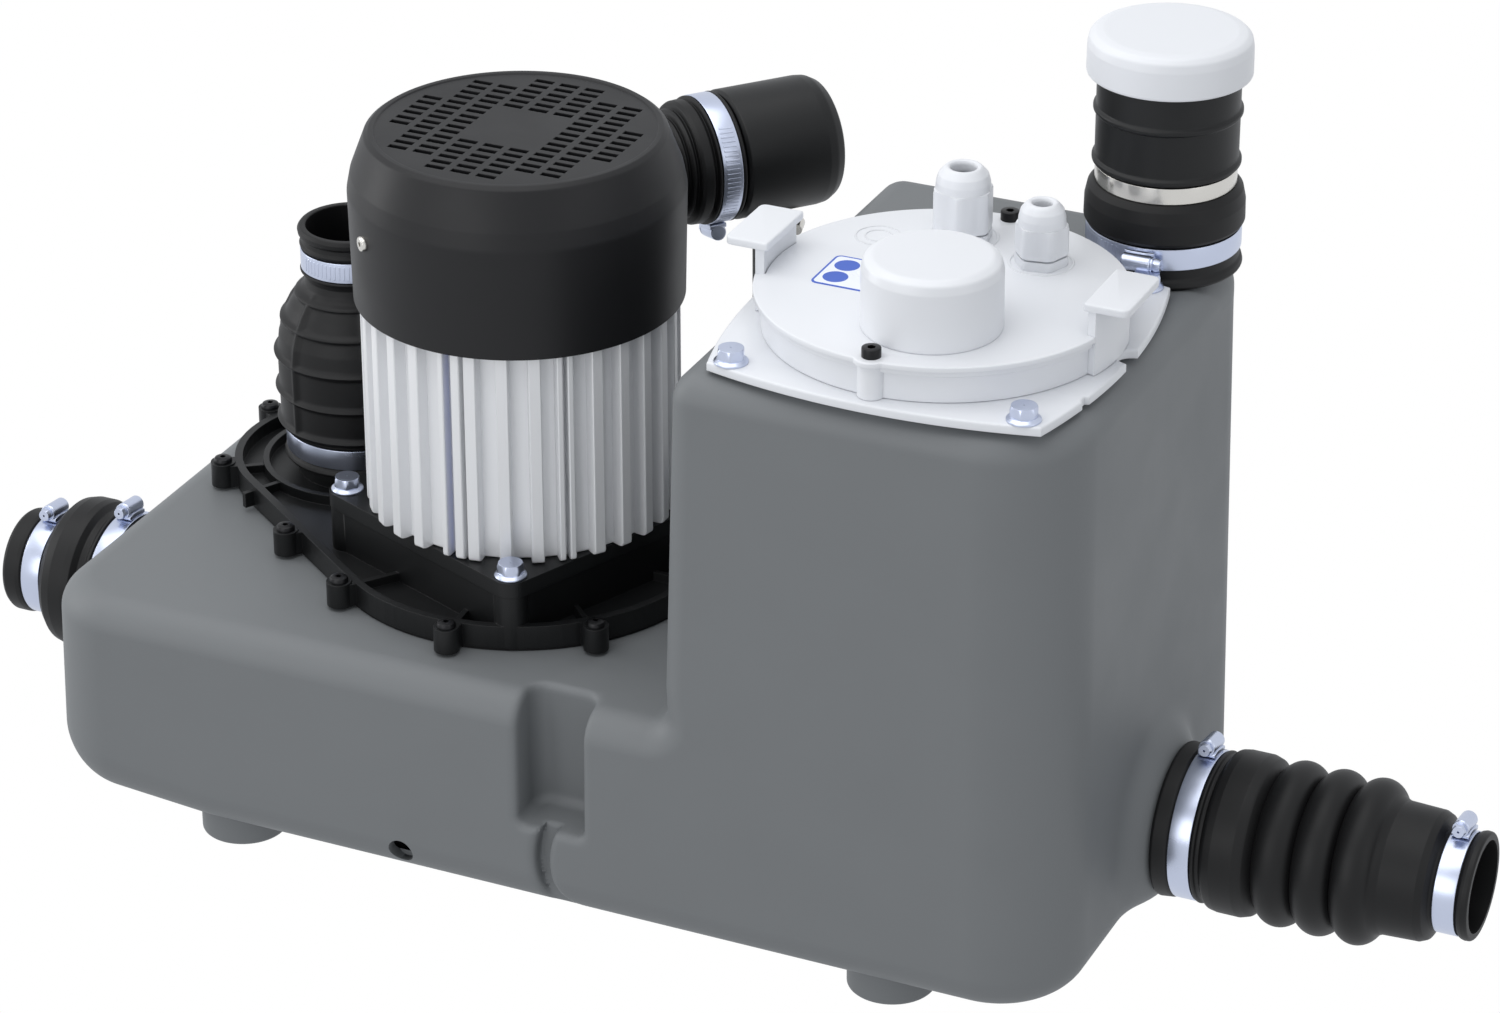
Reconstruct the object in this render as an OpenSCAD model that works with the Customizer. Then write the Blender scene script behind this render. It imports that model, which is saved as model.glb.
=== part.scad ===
// Grey water pump station: a low pump deck beside a tall tank, with two side inlets,
// a ribbed discharge boot, a barrel valve behind the motor and a capped vent.
// Origin: on the floor, at the centre of the four feet. +X towards the tall end, +Y to the back.

/* [Tank] */
// Length of the tank between its end faces
tank_l = 606; // [580:1:640]
// Depth of the tank at its foot
tank_d = 298; // [290:1:310]
// Height of the feet under the tank
foot_h = 17.5; // [10:0.5:25]
// Height of the pump deck above the floor
deck_z = 143.5; // [138:0.5:150]
// Height of the tall block above the floor
top_z = 349; // [340:1:360]
// Left face of the tall block
tall_x = 78; // [74:1:82]
// Wall of the moulding
wall = 5; // [4:0.5:6]
// Radius of a foot
foot_r = 22; // [18:1:24]
// Distance of the feet from the middle, along the length
foot_x = 196.5; // [180:0.5:210]
// Distance of the feet from the middle, across
foot_y = 108; // [100:1:112]

/* [Boots] */
// Outer radius of the stubs of the tank
stub_r = 35; // [34:0.5:36]
// Height of the inlet axis above the floor
inlet_z = 71.5; // [68:0.5:76]
// Rubber wall of a boot
rubber = 5; // [4.5:0.25:5.5]
// Radius of the pipe that the small ends take
pipe_r = 25; // [24.5:0.25:25.5]
// Width of a worm clamp band
band_w = 12; // [9:0.5:12]
// Thickness of a clamp band
band_t = 1; // [0.6:0.1:1.2]

/* [Motor] */
// Motor axis, along the length
motor_x = -71.5; // [-74:0.5:-68]
// Motor axis, across
motor_y = -1; // [-3:0.5:1]
// Radius over the cooling fins
fin_r = 86.5; // [84:0.5:87]
// Radius of the fan cover
cover_r = 91; // [90:0.5:92]
// Top of the fan cover above the floor
cover_top = 402.5; // [398:0.5:410]
// Radius of the motor shaft
shaft_r = 8; // [7:0.5:9]
// Radius of the impeller
impeller_r = 58; // [50:1:60]

/* [Pump cover] */
// Radius of the row of cover screws round the motor
screw_row_r = 114; // [112:0.5:116]
// Radius of the row of cover screws round the discharge
lobe_row_r = 78; // [76:0.5:80]
// Height of the rim above the deck
rim_h = 15; // [12:0.5:16]
// Discharge axis, along the length
dis_x = -205; // [-207:0.5:-203]
// Discharge axis, across
dis_y = 52; // [50:0.5:54]

/* [Lid] */
// Centre of the lid, along the length
lid_x = 191.5; // [189:0.5:194]
// Centre of the lid, across
lid_y = -42; // [-44:0.5:-40]
// Radius of the flat disc
disc_r = 96.5; // [94:0.5:97]
// Top of the disc above the floor
disc_z = 377.5; // [375:0.5:380]
// Half of the distance between the lid bolts
lid_bolt = 79; // [77:0.5:80]

/* [Vent] */
// Vent axis, along the length
vent_x = 260.5; // [258:0.5:262]
// Vent axis, across
vent_y = 94; // [92:0.5:96]
// Top of the white cap above the floor
cap_top = 479; // [474:1:486]

/* [Barrel valve] */
// Elbow axis, along the length
leg_x = -69; // [-72:0.5:-66]
// Distance of the elbow axis from the back of the tank
leg_in = 35.5; // [34:0.5:36]
// Height of the barrel axis
barrel_z = 330; // [326:1:334]
// Direction of the barrel, in plan
barrel_a = 50; // [45:1:55]
// Radius of the barrel
barrel_r = 37; // [35:0.5:38]
// Length of the plain barrel
barrel_l = 62; // [55:1:70]

/* [Clearances] */
// Radial gap of a running shaft
run_gap = 0.05; // [0.03:0.01:0.08]
// Gap between soft pieces and their neighbours
soft_gap = 0.3; // [0.2:0.05:0.4]
// Radial gap of a screw in its hole
screw_gap = 0.3; // [0.2:0.05:0.5]

/* [Hidden] */
$fn = 64;
grey = "#737577";
black = "#1d1e20";
white = "#eef0f5";
zinc = "#c3cbe0";
steel = "#c9c9c6";
half_l = tank_l / 2;
half_d = tank_d / 2;
leg_y = half_d - leg_in;
lean = 5;
edge_low = 24;
edge_deck = 18;
edge_top = 15;
corner_low = 42;
corner_tall = 50;
stub_out = 31;
stub_bore = stub_r - 6;
deck_in = deck_z - wall;
plate_t = 5;
seal_t = 2;
cover_z = deck_z + seal_t;
rim_z = cover_z + rim_h - seal_t;
rim_r = screw_row_r - 7;
lobe_r = lobe_row_r - 7;
boss_r = 7;
seat_z = 176;
flange_z = 185;
flange_bolt_r = 98;
bolt_turn = 22.5;
body_top = 312;
fin_low = 190;
fan_z = cover_top - 50.5;
chamber_low = 104;
chamber_top = 134;
seal_bore = 14;
lid_plate_z = top_z + seal_t;
lid_plate_top = lid_plate_z + 5;
housing_r = disc_r - 4;
disc_t = 3;
lid_hole = 84;
leg_r = 23;
leg_bore = 17;
bend_r = 40;
neck_t = 55;
nipple_t = 95;
seat_t = 113;
nipple_r = 8;
dis_clamp_z = 172;
dis_top = 301;
neck_z = 282;

// Building blocks

// Ring that rounds one vertical corner of a moulding: its radius and its edge radius
module puck(r, edge) {
    rotate_extrude($fn = 32) intersection() {
        translate([r - edge, 0]) circle(edge, $fn = 24);
        translate([0, -edge]) square([r, 2 * edge]);
    }
}

module tube(r_out, r_in, h) {
    difference() {
        cylinder(h = h, r = r_out);
        translate([0, 0, -1]) cylinder(h = h + 2, r = r_in);
    }
}

// Rod with a coned end for hex flange bolts: head height, across flats, flange, shank
module hex_bolt(af, head, flange, shank, len) {
    cylinder(h = 1.6, r1 = flange, r2 = flange - 1.4);
    translate([0, 0, 1]) cylinder(h = head - 1, r = af / sqrt(3), $fn = 6);
    translate([0, 0, -len]) cylinder(h = len + 1, r = shank);
}

// Button or cap head with a hexagon socket
module socket_screw(head_r, head_h, socket, shank, len) {
    difference() {
        union() {
            cylinder(h = head_h, r = head_r);
            translate([0, 0, -len]) cylinder(h = len + 0.5, r = shank);
        }
        translate([0, 0, head_h - 2]) cylinder(h = 3, r = socket / sqrt(3), $fn = 6);
    }
}

module at_motor(z = 0) {
    translate([motor_x, motor_y, z]) children();
}

module at_discharge(z = 0) {
    translate([dis_x, dis_y, z]) children();
}

module at_vent(z = 0) {
    translate([vent_x, vent_y, z]) children();
}

module at_lid(z = 0) {
    translate([lid_x, lid_y, z]) children();
}

// Local +Z runs along the inlet axis, away from the tank; side is 1 right, -1 left
module at_inlet(side, out = 0) {
    translate([side * (half_l + out), 0, inlet_z]) rotate([0, side * 90, 0]) children();
}

// Local +Z runs along the barrel, from the elbow's upright axis outwards
module at_barrel(t = 0) {
    translate([leg_x, leg_y, barrel_z]) rotate([0, 0, barrel_a]) translate([t, 0, 0])
        rotate([0, 90, 0]) children();
}

module at_motor_bolts() {
    for (k = [0:3]) at_motor() rotate([0, 0, bolt_turn + k * 90])
        translate([flange_bolt_r, 0, 0]) children();
}

module at_lid_bolts() {
    for (sx = [-1, 1], sy = [-1, 1]) at_lid() translate([sx * lid_bolt, sy * (lid_bolt + 6), 0])
        children();
}

// Screws of the pump cover: round the motor, round the discharge, and one on each flank
main_angles = [234, 275, 316, 357, 38];
lobe_angles = [216, 160, 105];
module at_cover_screws() {
    for (a = main_angles) at_motor() rotate([0, 0, a]) translate([screw_row_r, 0, 0]) children();
    for (a = lobe_angles) at_discharge() rotate([0, 0, a]) translate([lobe_row_r, 0, 0])
        children();
    translate([flank(234, 0.5)[0], flank(234, 0.5)[1], 0]) rotate([0, 0, 234]) children();
    translate([flank(83, 0.62)[0], flank(83, 0.62)[1], 0]) rotate([0, 0, 83]) children();
}

// Point on the straight flank between the two rows, from the motor (0) to the discharge (1)
function flank(a, t) = [
    (1 - t) * (motor_x + screw_row_r * cos(a)) + t * (dis_x + lobe_row_r * cos(a)),
    (1 - t) * (motor_y + screw_row_r * sin(a)) + t * (dis_y + lobe_row_r * sin(a))];

// Outline of the pump cover, grown by d
module cover_outline(d = 0) {
    hull() {
        translate([motor_x, motor_y]) circle(rim_r + d, $fn = 96);
        translate([dis_x, dis_y]) circle(lobe_r + d, $fn = 72);
    }
    translate([leg_x, leg_y]) circle(leg_r + 7 + d, $fn = 48);
}

// Tank

// Inset of the leaning walls at height z
function inset(z) = lean * (z - foot_h - edge_low) / (top_z - edge_top - foot_h - edge_low);

module low_block() {
    hull() for (x = [-half_l + corner_low, tall_x + 40], sy = [-1, 1])
        for (z = [foot_h + edge_low, deck_z - edge_deck])
            translate([x + (x < 0 ? inset(z) : 0), sy * (half_d - inset(z) - corner_low), z])
                puck(corner_low, z < 60 ? edge_low : edge_deck);
}

module tall_block() {
    hull() for (sy = [-1, 1]) {
        translate([half_l - corner_tall, sy * (half_d - corner_tall), foot_h + edge_low])
            puck(corner_tall, edge_low);
        translate([tall_x + edge_low - 2, sy * (half_d - edge_low), foot_h + edge_low])
            puck(edge_low, edge_low);
        translate([half_l - lean - corner_tall, sy * (half_d - lean - corner_tall),
            top_z - edge_top]) puck(corner_tall, edge_top);
        translate([tall_x + lean + edge_top, sy * (half_d - lean - edge_top),
            top_z - edge_top]) puck(edge_top, edge_top);
    }
}

// Quarter of a rounded outline, in steps, about a corner's centre
function quarter(x, y, r, a) = [for (k = [0:4]) [x + r * cos(a + k * 22.5),
    y + r * sin(a + k * 22.5)]];

// Rounded outline from y0 to y1 whose sides run from xb (low ends) to xt (high ends)
function rounded(xb, xt, y0, y1, r0, r1) = concat(
    quarter(xb[0] + r0, y0 + r0, r0, 180), quarter(xb[1] - r0, y0 + r0, r0, 270),
    quarter(xt[1] - r1, y1 - r1, r1, 0), quarter(xt[0] + r1, y1 - r1, r1, 90));

// Hollow with rounded edges: x at its foot and top, height, plan radius, edge radii
module hollow(xb, xt, z0, z1, r, r0, r1) {
    y0 = half_d - wall;
    y1 = y0 - inset(z1);
    intersection() {
        translate([0, 0, z0]) linear_extrude(z1 - z0)
            polygon(rounded([xb[0], xb[1]], [xb[0], xb[1]], -y0, y0, r, r));
        translate([0, half_d, 0]) rotate([90, 0, 0]) linear_extrude(2 * half_d)
            polygon(rounded(xb, xt, z0, z1, r0, r1));
        translate([-half_l, 0, 0]) rotate([90, 0, 90]) linear_extrude(2 * half_l)
            polygon(rounded([-y0, y0], [-y1, y1], z0, z1, r0, r1));
    }
}

pocket_l = -1.5;
pocket_r = 36;
pocket_low = 68;
pocket_in = 30;
module front_pocket() {
    translate([pocket_l - 8, -half_d - 5, pocket_low]) rotate([0, 0, 0]) hull() {
        translate([12, 5 + pocket_in - 12, 6]) sphere(6, $fn = 24);
        translate([pocket_r - 2, 5 + pocket_in - 12, 6]) sphere(6, $fn = 24);
        translate([8, -6, 0]) cube([pocket_r - 4, 6, 10]);
        translate([14, 5 + pocket_in - 14, 90]) cylinder(h = 5, r = 10, $fn = 32);
        translate([pocket_r - 6, 5 + pocket_in - 14, 90]) cylinder(h = 5, r = 10, $fn = 32);
        translate([5, -6, 90]) cube([pocket_r + 1, 6, 5]);
    }
}

groove_r = 46;
module front_groove() {
    translate([9.5 + groove_r, -half_d - 6, 50]) rotate([-90, 0, 0]) rotate([0, 0, 148])
        rotate_extrude(angle = 62) translate([groove_r - 3.5, 0]) square([7, 14]);
}

module tank() {
    color(grey) difference() {
        union() {
            low_block();
            tall_block();
            for (sx = [-1, 1], sy = [-1, 1]) translate([sx * foot_x, sy * foot_y, 0])
                cylinder(h = foot_h + 24, r1 = foot_r, r2 = foot_r + 1);
            for (side = [-1, 1]) at_inlet(side, -12) cylinder(h = 12 + stub_out, r = stub_r);
            for (side = [-1, 1]) at_inlet(side, -12) cylinder(h = 18, r = stub_r + 4);
            at_vent(top_z - 12) cylinder(h = 12 + stub_out - 6, r = stub_r);
            translate([leg_x, leg_y, deck_z - 34]) cylinder(h = 34, r = leg_r + 8);
            translate([barrel_px(nipple_t), half_d - 12, drain_z]) rotate([-90, 0, 0])
                cylinder(h = 24, r = nipple_r);
        }
        difference() {
            union() {
                hollow([wall - half_l, tall_x + 90], [wall + 2 - half_l, tall_x + 90],
                    foot_h + wall, deck_z - wall, 48, 30, 24);
                hollow([tall_x + wall, half_l - wall], [tall_x + lean + wall,
                    half_l - lean - wall], foot_h + wall, top_z - wall, 56, 30, 24);
            }
            translate([pocket_l - 14, -half_d - 2, pocket_low - wall])
                cube([pocket_r + 20, pocket_in + wall + 2, 140]);
        }
        for (side = [-1, 1]) at_inlet(side, -16) cylinder(h = 60, r = stub_bore);
        at_vent(top_z - 16) cylinder(h = 60, r = stub_bore);
        translate([barrel_px(nipple_t), half_d - 16, drain_z]) rotate([-90, 0, 0])
            cylinder(h = 60, r = nipple_r - 3);
        translate([0, 0, deck_z - 12]) linear_extrude(20) cover_outline(-14);
        at_lid(top_z - 12) cylinder(h = 20, r = lid_hole);
        at_lid_bolts() translate([0, 0, top_z - 12]) cylinder(h = 20, r = 4 + screw_gap);
        at_cover_screws() translate([0, 0, deck_z - 12]) cylinder(h = 20, r = 2.5 + screw_gap);
        front_pocket();
        front_groove();
        translate([-76, -half_d - 3, 35]) rotate([-90, 0, 0]) cylinder(h = 3 + wall - 1, r = 7.3);
    }
}

function barrel_px(t) = leg_x + t * cos(barrel_a);
function barrel_py(t) = leg_y + t * sin(barrel_a);
drain_z = 112;
spigot_z = 179.5;
pillar_r = 9.5;
casing_row = 83.5;
casing_screws = [10, 60, 110, 220, 265, 315];
hinge_turn = 110;
hinge_in = 32.6;
hinge_z = spigot_z + 3.6;

// Pump cover and its fixings

// Rounded square of the motor's foot, grown by d
module flange_square(d = 0) {
    hull() for (k = [0:3]) rotate([0, 0, bolt_turn + k * 90]) translate([flange_bolt_r, 0])
        circle(pillar_r + d, $fn = 40);
}

module rim_ring(z0, z1, inset) {
    translate([0, 0, z0]) linear_extrude(z1 - z0) difference() {
        cover_outline(0);
        cover_outline(-inset);
    }
}

module web(a, r0, r1, x, y) {
    translate([x, y, cover_z + 1]) rotate([0, 0, a]) translate([r0, -1.5, 0])
        cube([r1 - r0, 3, rim_z - cover_z - 4]);
}

module pump_cover() {
    color(black) difference() {
        union() {
            translate([0, 0, cover_z]) linear_extrude(plate_t) cover_outline(0);
            rim_ring(cover_z + 1, rim_z, 4.5);
            at_cover_screws() translate([0, 0, cover_z]) cylinder(h = rim_z - cover_z + 1, r = boss_r);
            at_cover_screws() translate([-9, 0.8 - boss_r, cover_z])
                cube([9, 2 * boss_r - 1.6, rim_z - cover_z]);
            at_motor(cover_z + 1) linear_extrude(seat_z - cover_z - 1.02) difference() {
                flange_square(-2);
                circle(70);
            }
            at_motor(cover_z + 1) cylinder(h = 14, r = 24);
            at_motor_bolts() translate([0, 0, cover_z]) cylinder(h = seat_z - cover_z - 0.02, r = pillar_r);
            at_discharge(cover_z) cylinder(h = spigot_z - cover_z, r = stub_r);
            at_discharge(spigot_z - 0.5) rotate([0, 0, hinge_turn]) for (sy = [-1, 1])
                translate([30.4, sy * 12 - 1.6, 0]) cube([4.4, 3.2, 8.5]);
            at_discharge(cover_z + 1) tube(55, 51.5, rim_z - cover_z - 3);
            translate([leg_x, leg_y, cover_z]) cylinder(h = 40, r = leg_bore + 1);
            for (a = main_angles) web(a, 76, rim_r - 2, motor_x, motor_y);
            for (a = [150, 185]) web(a, 76, rim_r - 2, motor_x, motor_y);
            for (a = lobe_angles) web(a, 53.5, lobe_r - 2, dis_x, dis_y);
            web(-118, 53.5, 78, dis_x, dis_y);
        }
        at_motor(cover_z - 1) cylinder(h = 30, r = seal_bore);
        at_discharge(cover_z - 1) cylinder(h = 60, r = stub_bore);
        translate([leg_x, leg_y, cover_z - 1]) cylinder(h = 60, r = leg_bore - 2);
        at_motor_bolts() translate([0, 0, seat_z - 20]) cylinder(h = 30, r = 4 + screw_gap);
        at_cover_screws() translate([0, 0, cover_z - 1]) cylinder(h = 40, r = 2.5 + screw_gap);
        at_discharge(hinge_z) rotate([0, 0, hinge_turn]) translate([hinge_in, -20, 0])
            rotate([-90, 0, 0]) cylinder(h = 40, r = 2 + run_gap);
        at_motor(cover_z - 1) for (a = casing_screws) rotate([0, 0, a])
            translate([casing_row, 0, 0]) cylinder(h = 5, r = 2);
    }
}

module pump_cover_seal() {
    color("#2a2a2a") translate([0, 0, deck_z]) linear_extrude(seal_t) difference() {
        cover_outline(-1);
        cover_outline(-6);
    }
}

module pump_cover_screws() {
    color("#232325") at_cover_screws() translate([0, 0, rim_z + 1])
        socket_screw(5.2, 3, 3, 2.5, rim_z - deck_z + 3);
}

// Hydraulics under the cover

module volute_casing() {
    color("#2b2c2e") difference() {
        union() {
            at_motor(chamber_low - 5) cylinder(h = cover_z - chamber_low + 5, r = 78);
            at_motor(cover_z - 6) cylinder(h = 6, r = casing_row + 5.5);
            at_discharge(chamber_low - 5) cylinder(h = cover_z - chamber_low + 5, r = 34);
            translate([dis_x, motor_y - 10, chamber_low - 5]) cube([100, 60, cover_z - chamber_low + 5]);
        }
        at_motor(chamber_low) cylinder(h = 60, r = 66);
        at_discharge(chamber_low) cylinder(h = 60, r = stub_bore - 3);
        translate([dis_x, motor_y + 14, chamber_low + 2]) cube([100, 30, chamber_top - chamber_low - 4]);
        at_motor(chamber_low - 10) cylinder(h = 20, r = 24);
        at_motor(cover_z - 12) for (a = casing_screws) rotate([0, 0, a])
            translate([casing_row, 0, 0]) cylinder(h = 20, r = 2 + screw_gap);
    }
}

module volute_screws() {
    color(zinc) at_motor(cover_z - 6) for (a = casing_screws) rotate([0, 0, a])
        translate([casing_row, 0, 0]) rotate([180, 0, 0]) socket_screw(3.6, 3, 2.5, 1.9, 9.5);
}

module impeller() {
    color("#303234") at_motor(chamber_low + 6) difference() {
        union() {
            translate([0, 0, 14]) cylinder(h = 3, r = impeller_r);
            translate([0, 0, 4]) cylinder(h = 20, r = 13);
            for (k = [0:5]) rotate([0, 0, k * 60]) translate([34, 0, 0]) rotate([0, 0, 28])
                translate([-22, -1.5, 1]) cube([44, 3, 14]);
        }
        translate([0, 0, -1]) cylinder(h = 30, r = shaft_r - 2);
    }
}

module impeller_nut() {
    color(steel) at_motor(chamber_low + 0.5) difference() {
        cylinder(h = 9.5, r = 8, $fn = 6);
        translate([0, 0, 3]) cylinder(h = 10, r = shaft_r - 4);
    }
}

module shaft_seal() {
    color("#3a3a3c") at_motor(cover_z + 1) tube(seal_bore, shaft_r + 0.4, 12);
}

// Motor

module motor_shaft() {
    color(steel) at_motor(chamber_low + 3.5) {
        cylinder(h = 9, r = shaft_r - 4);
        translate([0, 0, 6.5]) cylinder(h = 24.5, r = shaft_r - 2);
        translate([0, 0, 30.5]) cylinder(h = 264.5 - 30.5, r = shaft_r);
    }
}

module lower_bearing() {
    color(steel) at_motor(flange_z + 2) tube(18, shaft_r + run_gap, 12);
}

module upper_bearing() {
    color(steel) at_motor(body_top - 8) tube(18, shaft_r + run_gap, 12);
}

module rotor() {
    color("#8d8f92") at_motor(216) tube(34, shaft_r, 74);
}

module stator() {
    color("#a5672f") at_motor(212) tube(60, 34.6, 82);
}

module motor_flange() {
    color(black) difference() {
        union() {
            at_motor(seat_z) linear_extrude(flange_z - seat_z) flange_square(0.5);
            at_motor(flange_z - 1) cylinder(h = 18, r = 24);
        }
        at_motor(seat_z - 1) cylinder(h = 40, r = seal_bore);
        at_motor(flange_z + 2) cylinder(h = 40, r = 18);
        at_motor_bolts() translate([0, 0, seat_z - 1]) cylinder(h = 30, r = 4 + screw_gap);
    }
}

module motor_bolts() {
    color(zinc) at_motor_bolts() translate([0, 0, flange_z]) hex_bolt(13, 8, 8.9, 4, 24);
}

// Half of the gaps between fins are wide, and two thin ribs stand close together
fin_angles = [for (a = [0:10:350]) a + (a % 20 == 0 ? 2.2 : -1.4)];
module motor_housing() {
    color("#d9dadb") difference() {
        union() {
            at_motor(flange_z) cylinder(h = body_top - flange_z, r = 70);
            at_motor(fin_low) linear_extrude(body_top + 4 - fin_low) union() {
                for (a = fin_angles) rotate([0, 0, a]) translate([66, -1.6])
                    square([fin_r - 66, 3.2]);
            }
        }
        at_motor(flange_z - 1) cylinder(h = 200, r = 60 + run_gap);
    }
}

module upper_shield() {
    color("#c9cacc") at_motor(body_top - 12) difference() {
        union() {
            translate([0, 0, 12]) cylinder(h = 4, r = 65);
            cylinder(h = 14, r = 24);
        }
        translate([0, 0, 4]) cylinder(h = 20, r = 18);
        translate([0, 0, -1]) cylinder(h = 20, r = 12);
    }
}

module motor_label() {
    color("#3f62b8") at_motor(fin_low + 6) rotate([0, 0, 245.4]) translate([70, -1.6, 0])
        cube([0.6, 3.2, 100]);
}

module cooling_fan() {
    color("#2c2d2f") at_motor(fan_z) difference() {
        union() {
            cylinder(h = 22, r = 14);
            cylinder(h = 2.5, r = 40);
            for (k = [0:7]) rotate([0, 0, k * 45]) translate([12, -1.2, 0]) cube([60, 2.4, 20]);
        }
        translate([0, 0, -1]) cylinder(h = 30, r = shaft_r);
    }
}

shoulder_z = cover_top - 30.5;
module cover_shell() {
    rotate_extrude($fn = 96) polygon([[cover_r - 1.3, body_top - 4], [cover_r, shoulder_z],
        [cover_r - 2.4, shoulder_z + 9], [cover_r - 10, cover_top - 1.5],
        [cover_r - 12, cover_top], [cover_r - 16, cover_top], [cover_r - 16, cover_top - 3],
        [cover_r - 13, cover_top - 3], [cover_r - 5.4, shoulder_z + 8],
        [cover_r - 3, shoulder_z - 1], [cover_r - 4.2, body_top - 4]]);
}

module fan_cover() {
    color(black) at_motor() {
        difference() {
            cover_shell();
            for (a = side_screws) rotate([0, 0, a]) translate([cover_r - 8, 0, side_z])
                rotate([0, 90, 0]) cylinder(h = 16, r = 1.8 + screw_gap);
        }
        translate([0, 0, cover_top - 3]) linear_extrude(2.4) grille_plate();
        for (a = [20:90:290]) rotate([0, 0, a]) translate([fin_r - 3.5, -4, body_top + 4.3])
            cube([cover_r - fin_r + 1, 8, 10]);
    }
}

// Screws in the side of the fan cover and the height of their row
side_screws = [224, 314, 44, 134];
side_z = cover_top - 58.5;

// Square grid of paired slots with a blank square in the middle
slot_cell = 15;
module grille_plate() {
    difference() {
        circle(cover_r - 14, $fn = 96);
        for (i = [-4:4], j = [-4:4])
            if (norm([i, j]) * slot_cell < cover_r - 27 && (abs(i) > 1 || abs(j) > 1))
                for (k = [-1, 1]) translate([i * slot_cell - 5.5, j * slot_cell + k * 3.6 - 2])
                    square([11, 4]);
    }
}

module fan_cover_screws() {
    color(steel) at_motor(side_z) for (a = side_screws) rotate([0, 0, a])
        translate([cover_r - 0.35, 0, 0]) rotate([0, 90, 0]) socket_screw(4.2, 2.4, 2.5, 1.8, 4);
}

// Rubber boots and clamps

// Rounded bead on a boot: radius, height and half width
module bead(r, z, b) {
    translate([0, 0, z]) rotate_extrude() translate([r, 0]) circle(b, $fn = 24);
}

lip_to_band = 11.2;
boot_in = stub_r + soft_gap;
boot_out = stub_r + rubber;
small_out = pipe_r + 2.6;

// Lower end of every large boot, standing on a stub: local z from its lip
module big_end(h) {
    top = band_w + 5.4;
    rotate_extrude() polygon([[0, 0], [boot_out + 1.2, 0], [boot_out + 2.2, 1.2],
        [boot_out + 2.2, 3], [boot_out + 1, 4.4], [boot_out, 5], [boot_out, top],
        [boot_out + 1.5, top + 0.8], [boot_out + 1.5, top + 2], [boot_out, top + 3],
        [boot_out, h], [0, h]]);
}

// Outer line of the discharge boot as radius and height, and the places of its ribs
body_line = [[43.6, 180], [43.8, 224], [42.6, 238], [38.6, 248], [32.4, 258], [26.6, 267],
    [26.2, 271], [small_out, 273.4], [small_out, 286.5]];
rib_z = [184, 204, 223, 239, 251, 261];
rib_high = 2;
rib_half = 1.6;

function line_r(p, z) = lookup(z, [for (q = p) [q[1], q[0]]]);
function ribbed(p) = concat(
    [for (z = rib_z) each [[line_r(p, z - rib_half), z - rib_half],
        [line_r(p, z) + rib_high, z - rib_half * 0.4], [line_r(p, z) + rib_high, z + rib_half * 0.4],
        [line_r(p, z + rib_half), z + rib_half]]],
    [for (q = p) if (q[1] > 264) q],
    [[small_out, 288.2], [small_out + 1.4, 289.6], [small_out + 1.4, 291], [small_out, 292.4],
    [small_out, 295.6],
    [small_out + 1.8, 297], [small_out + 2, 299.4], [small_out + 0.6, dis_top]]);

module discharge_boot() {
    color(black) at_discharge() difference() {
        union() {
            translate([0, 0, dis_clamp_z - lip_to_band]) big_end(22);
            rotate_extrude() polygon(concat([[0, 180], body_line[0]], ribbed(body_line), [[0, dis_top]]));
            for (a = [0:30:330]) rotate([0, 0, a]) translate([38, -1.5, 184]) cube([7.6, 3, 42]);
        }
        translate([0, 0, dis_clamp_z - 20]) cylinder(h = 30, r = boot_in);
        translate([0, 0, 179]) cylinder(h = 62, r = 38);
        translate([0, 0, 240]) cylinder(h = 22, r1 = 38, r2 = pipe_r - 3);
        translate([0, 0, 255]) cylinder(h = 60, r = pipe_r - 3);
        translate([0, 0, 272]) cylinder(h = 60, r = pipe_r);
    }
}

// Flap of the non-return valve: it rests on the spigot and swings between two lugs
module discharge_flap() {
    color("#3c3d40") at_discharge() rotate([0, 0, hinge_turn]) {
        translate([0, 0, spigot_z + 0.1]) cylinder(h = 4, r = 30);
        translate([22, -8, spigot_z + 0.1]) cube([hinge_in - 22, 16, 4]);
        translate([hinge_in, -13.4, hinge_z]) rotate([-90, 0, 0]) cylinder(h = 26.8, r = 2);
    }
}

module band(r, w, z) {
    translate([0, 0, z - w / 2]) tube(r + band_t, r, w);
}

// Worm housing on a band at angle a
module worm_housing(r, z, a) {
    rotate([0, 0, a]) translate([r + band_t, 0, z]) {
        translate([-0.3, -8, -5]) cube([3, 16, 10]);
        translate([5, -8, 0]) rotate([-90, 0, 0]) cylinder(h = 16, r = 4.6);
    }
}

// Hex head and shank of the worm screw of that housing
module worm_screw(r, z, a) {
    rotate([0, 0, a]) translate([r + band_t + 5, 8, z]) rotate([-90, 0, 0]) {
        cylinder(h = 5, r = 4, $fn = 6);
        cylinder(h = 1, r = 4.5);
    }
}

dis_low_worm = 80;
dis_top_worm = 40;
module discharge_clamps() {
    color(zinc) at_discharge() {
        band(boot_out + 0.1, band_w, dis_clamp_z);
        worm_housing(boot_out, dis_clamp_z, dis_low_worm);
        band(small_out + 0.1, band_w, neck_z);
        worm_housing(small_out, neck_z, dis_top_worm);
    }
}

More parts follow.
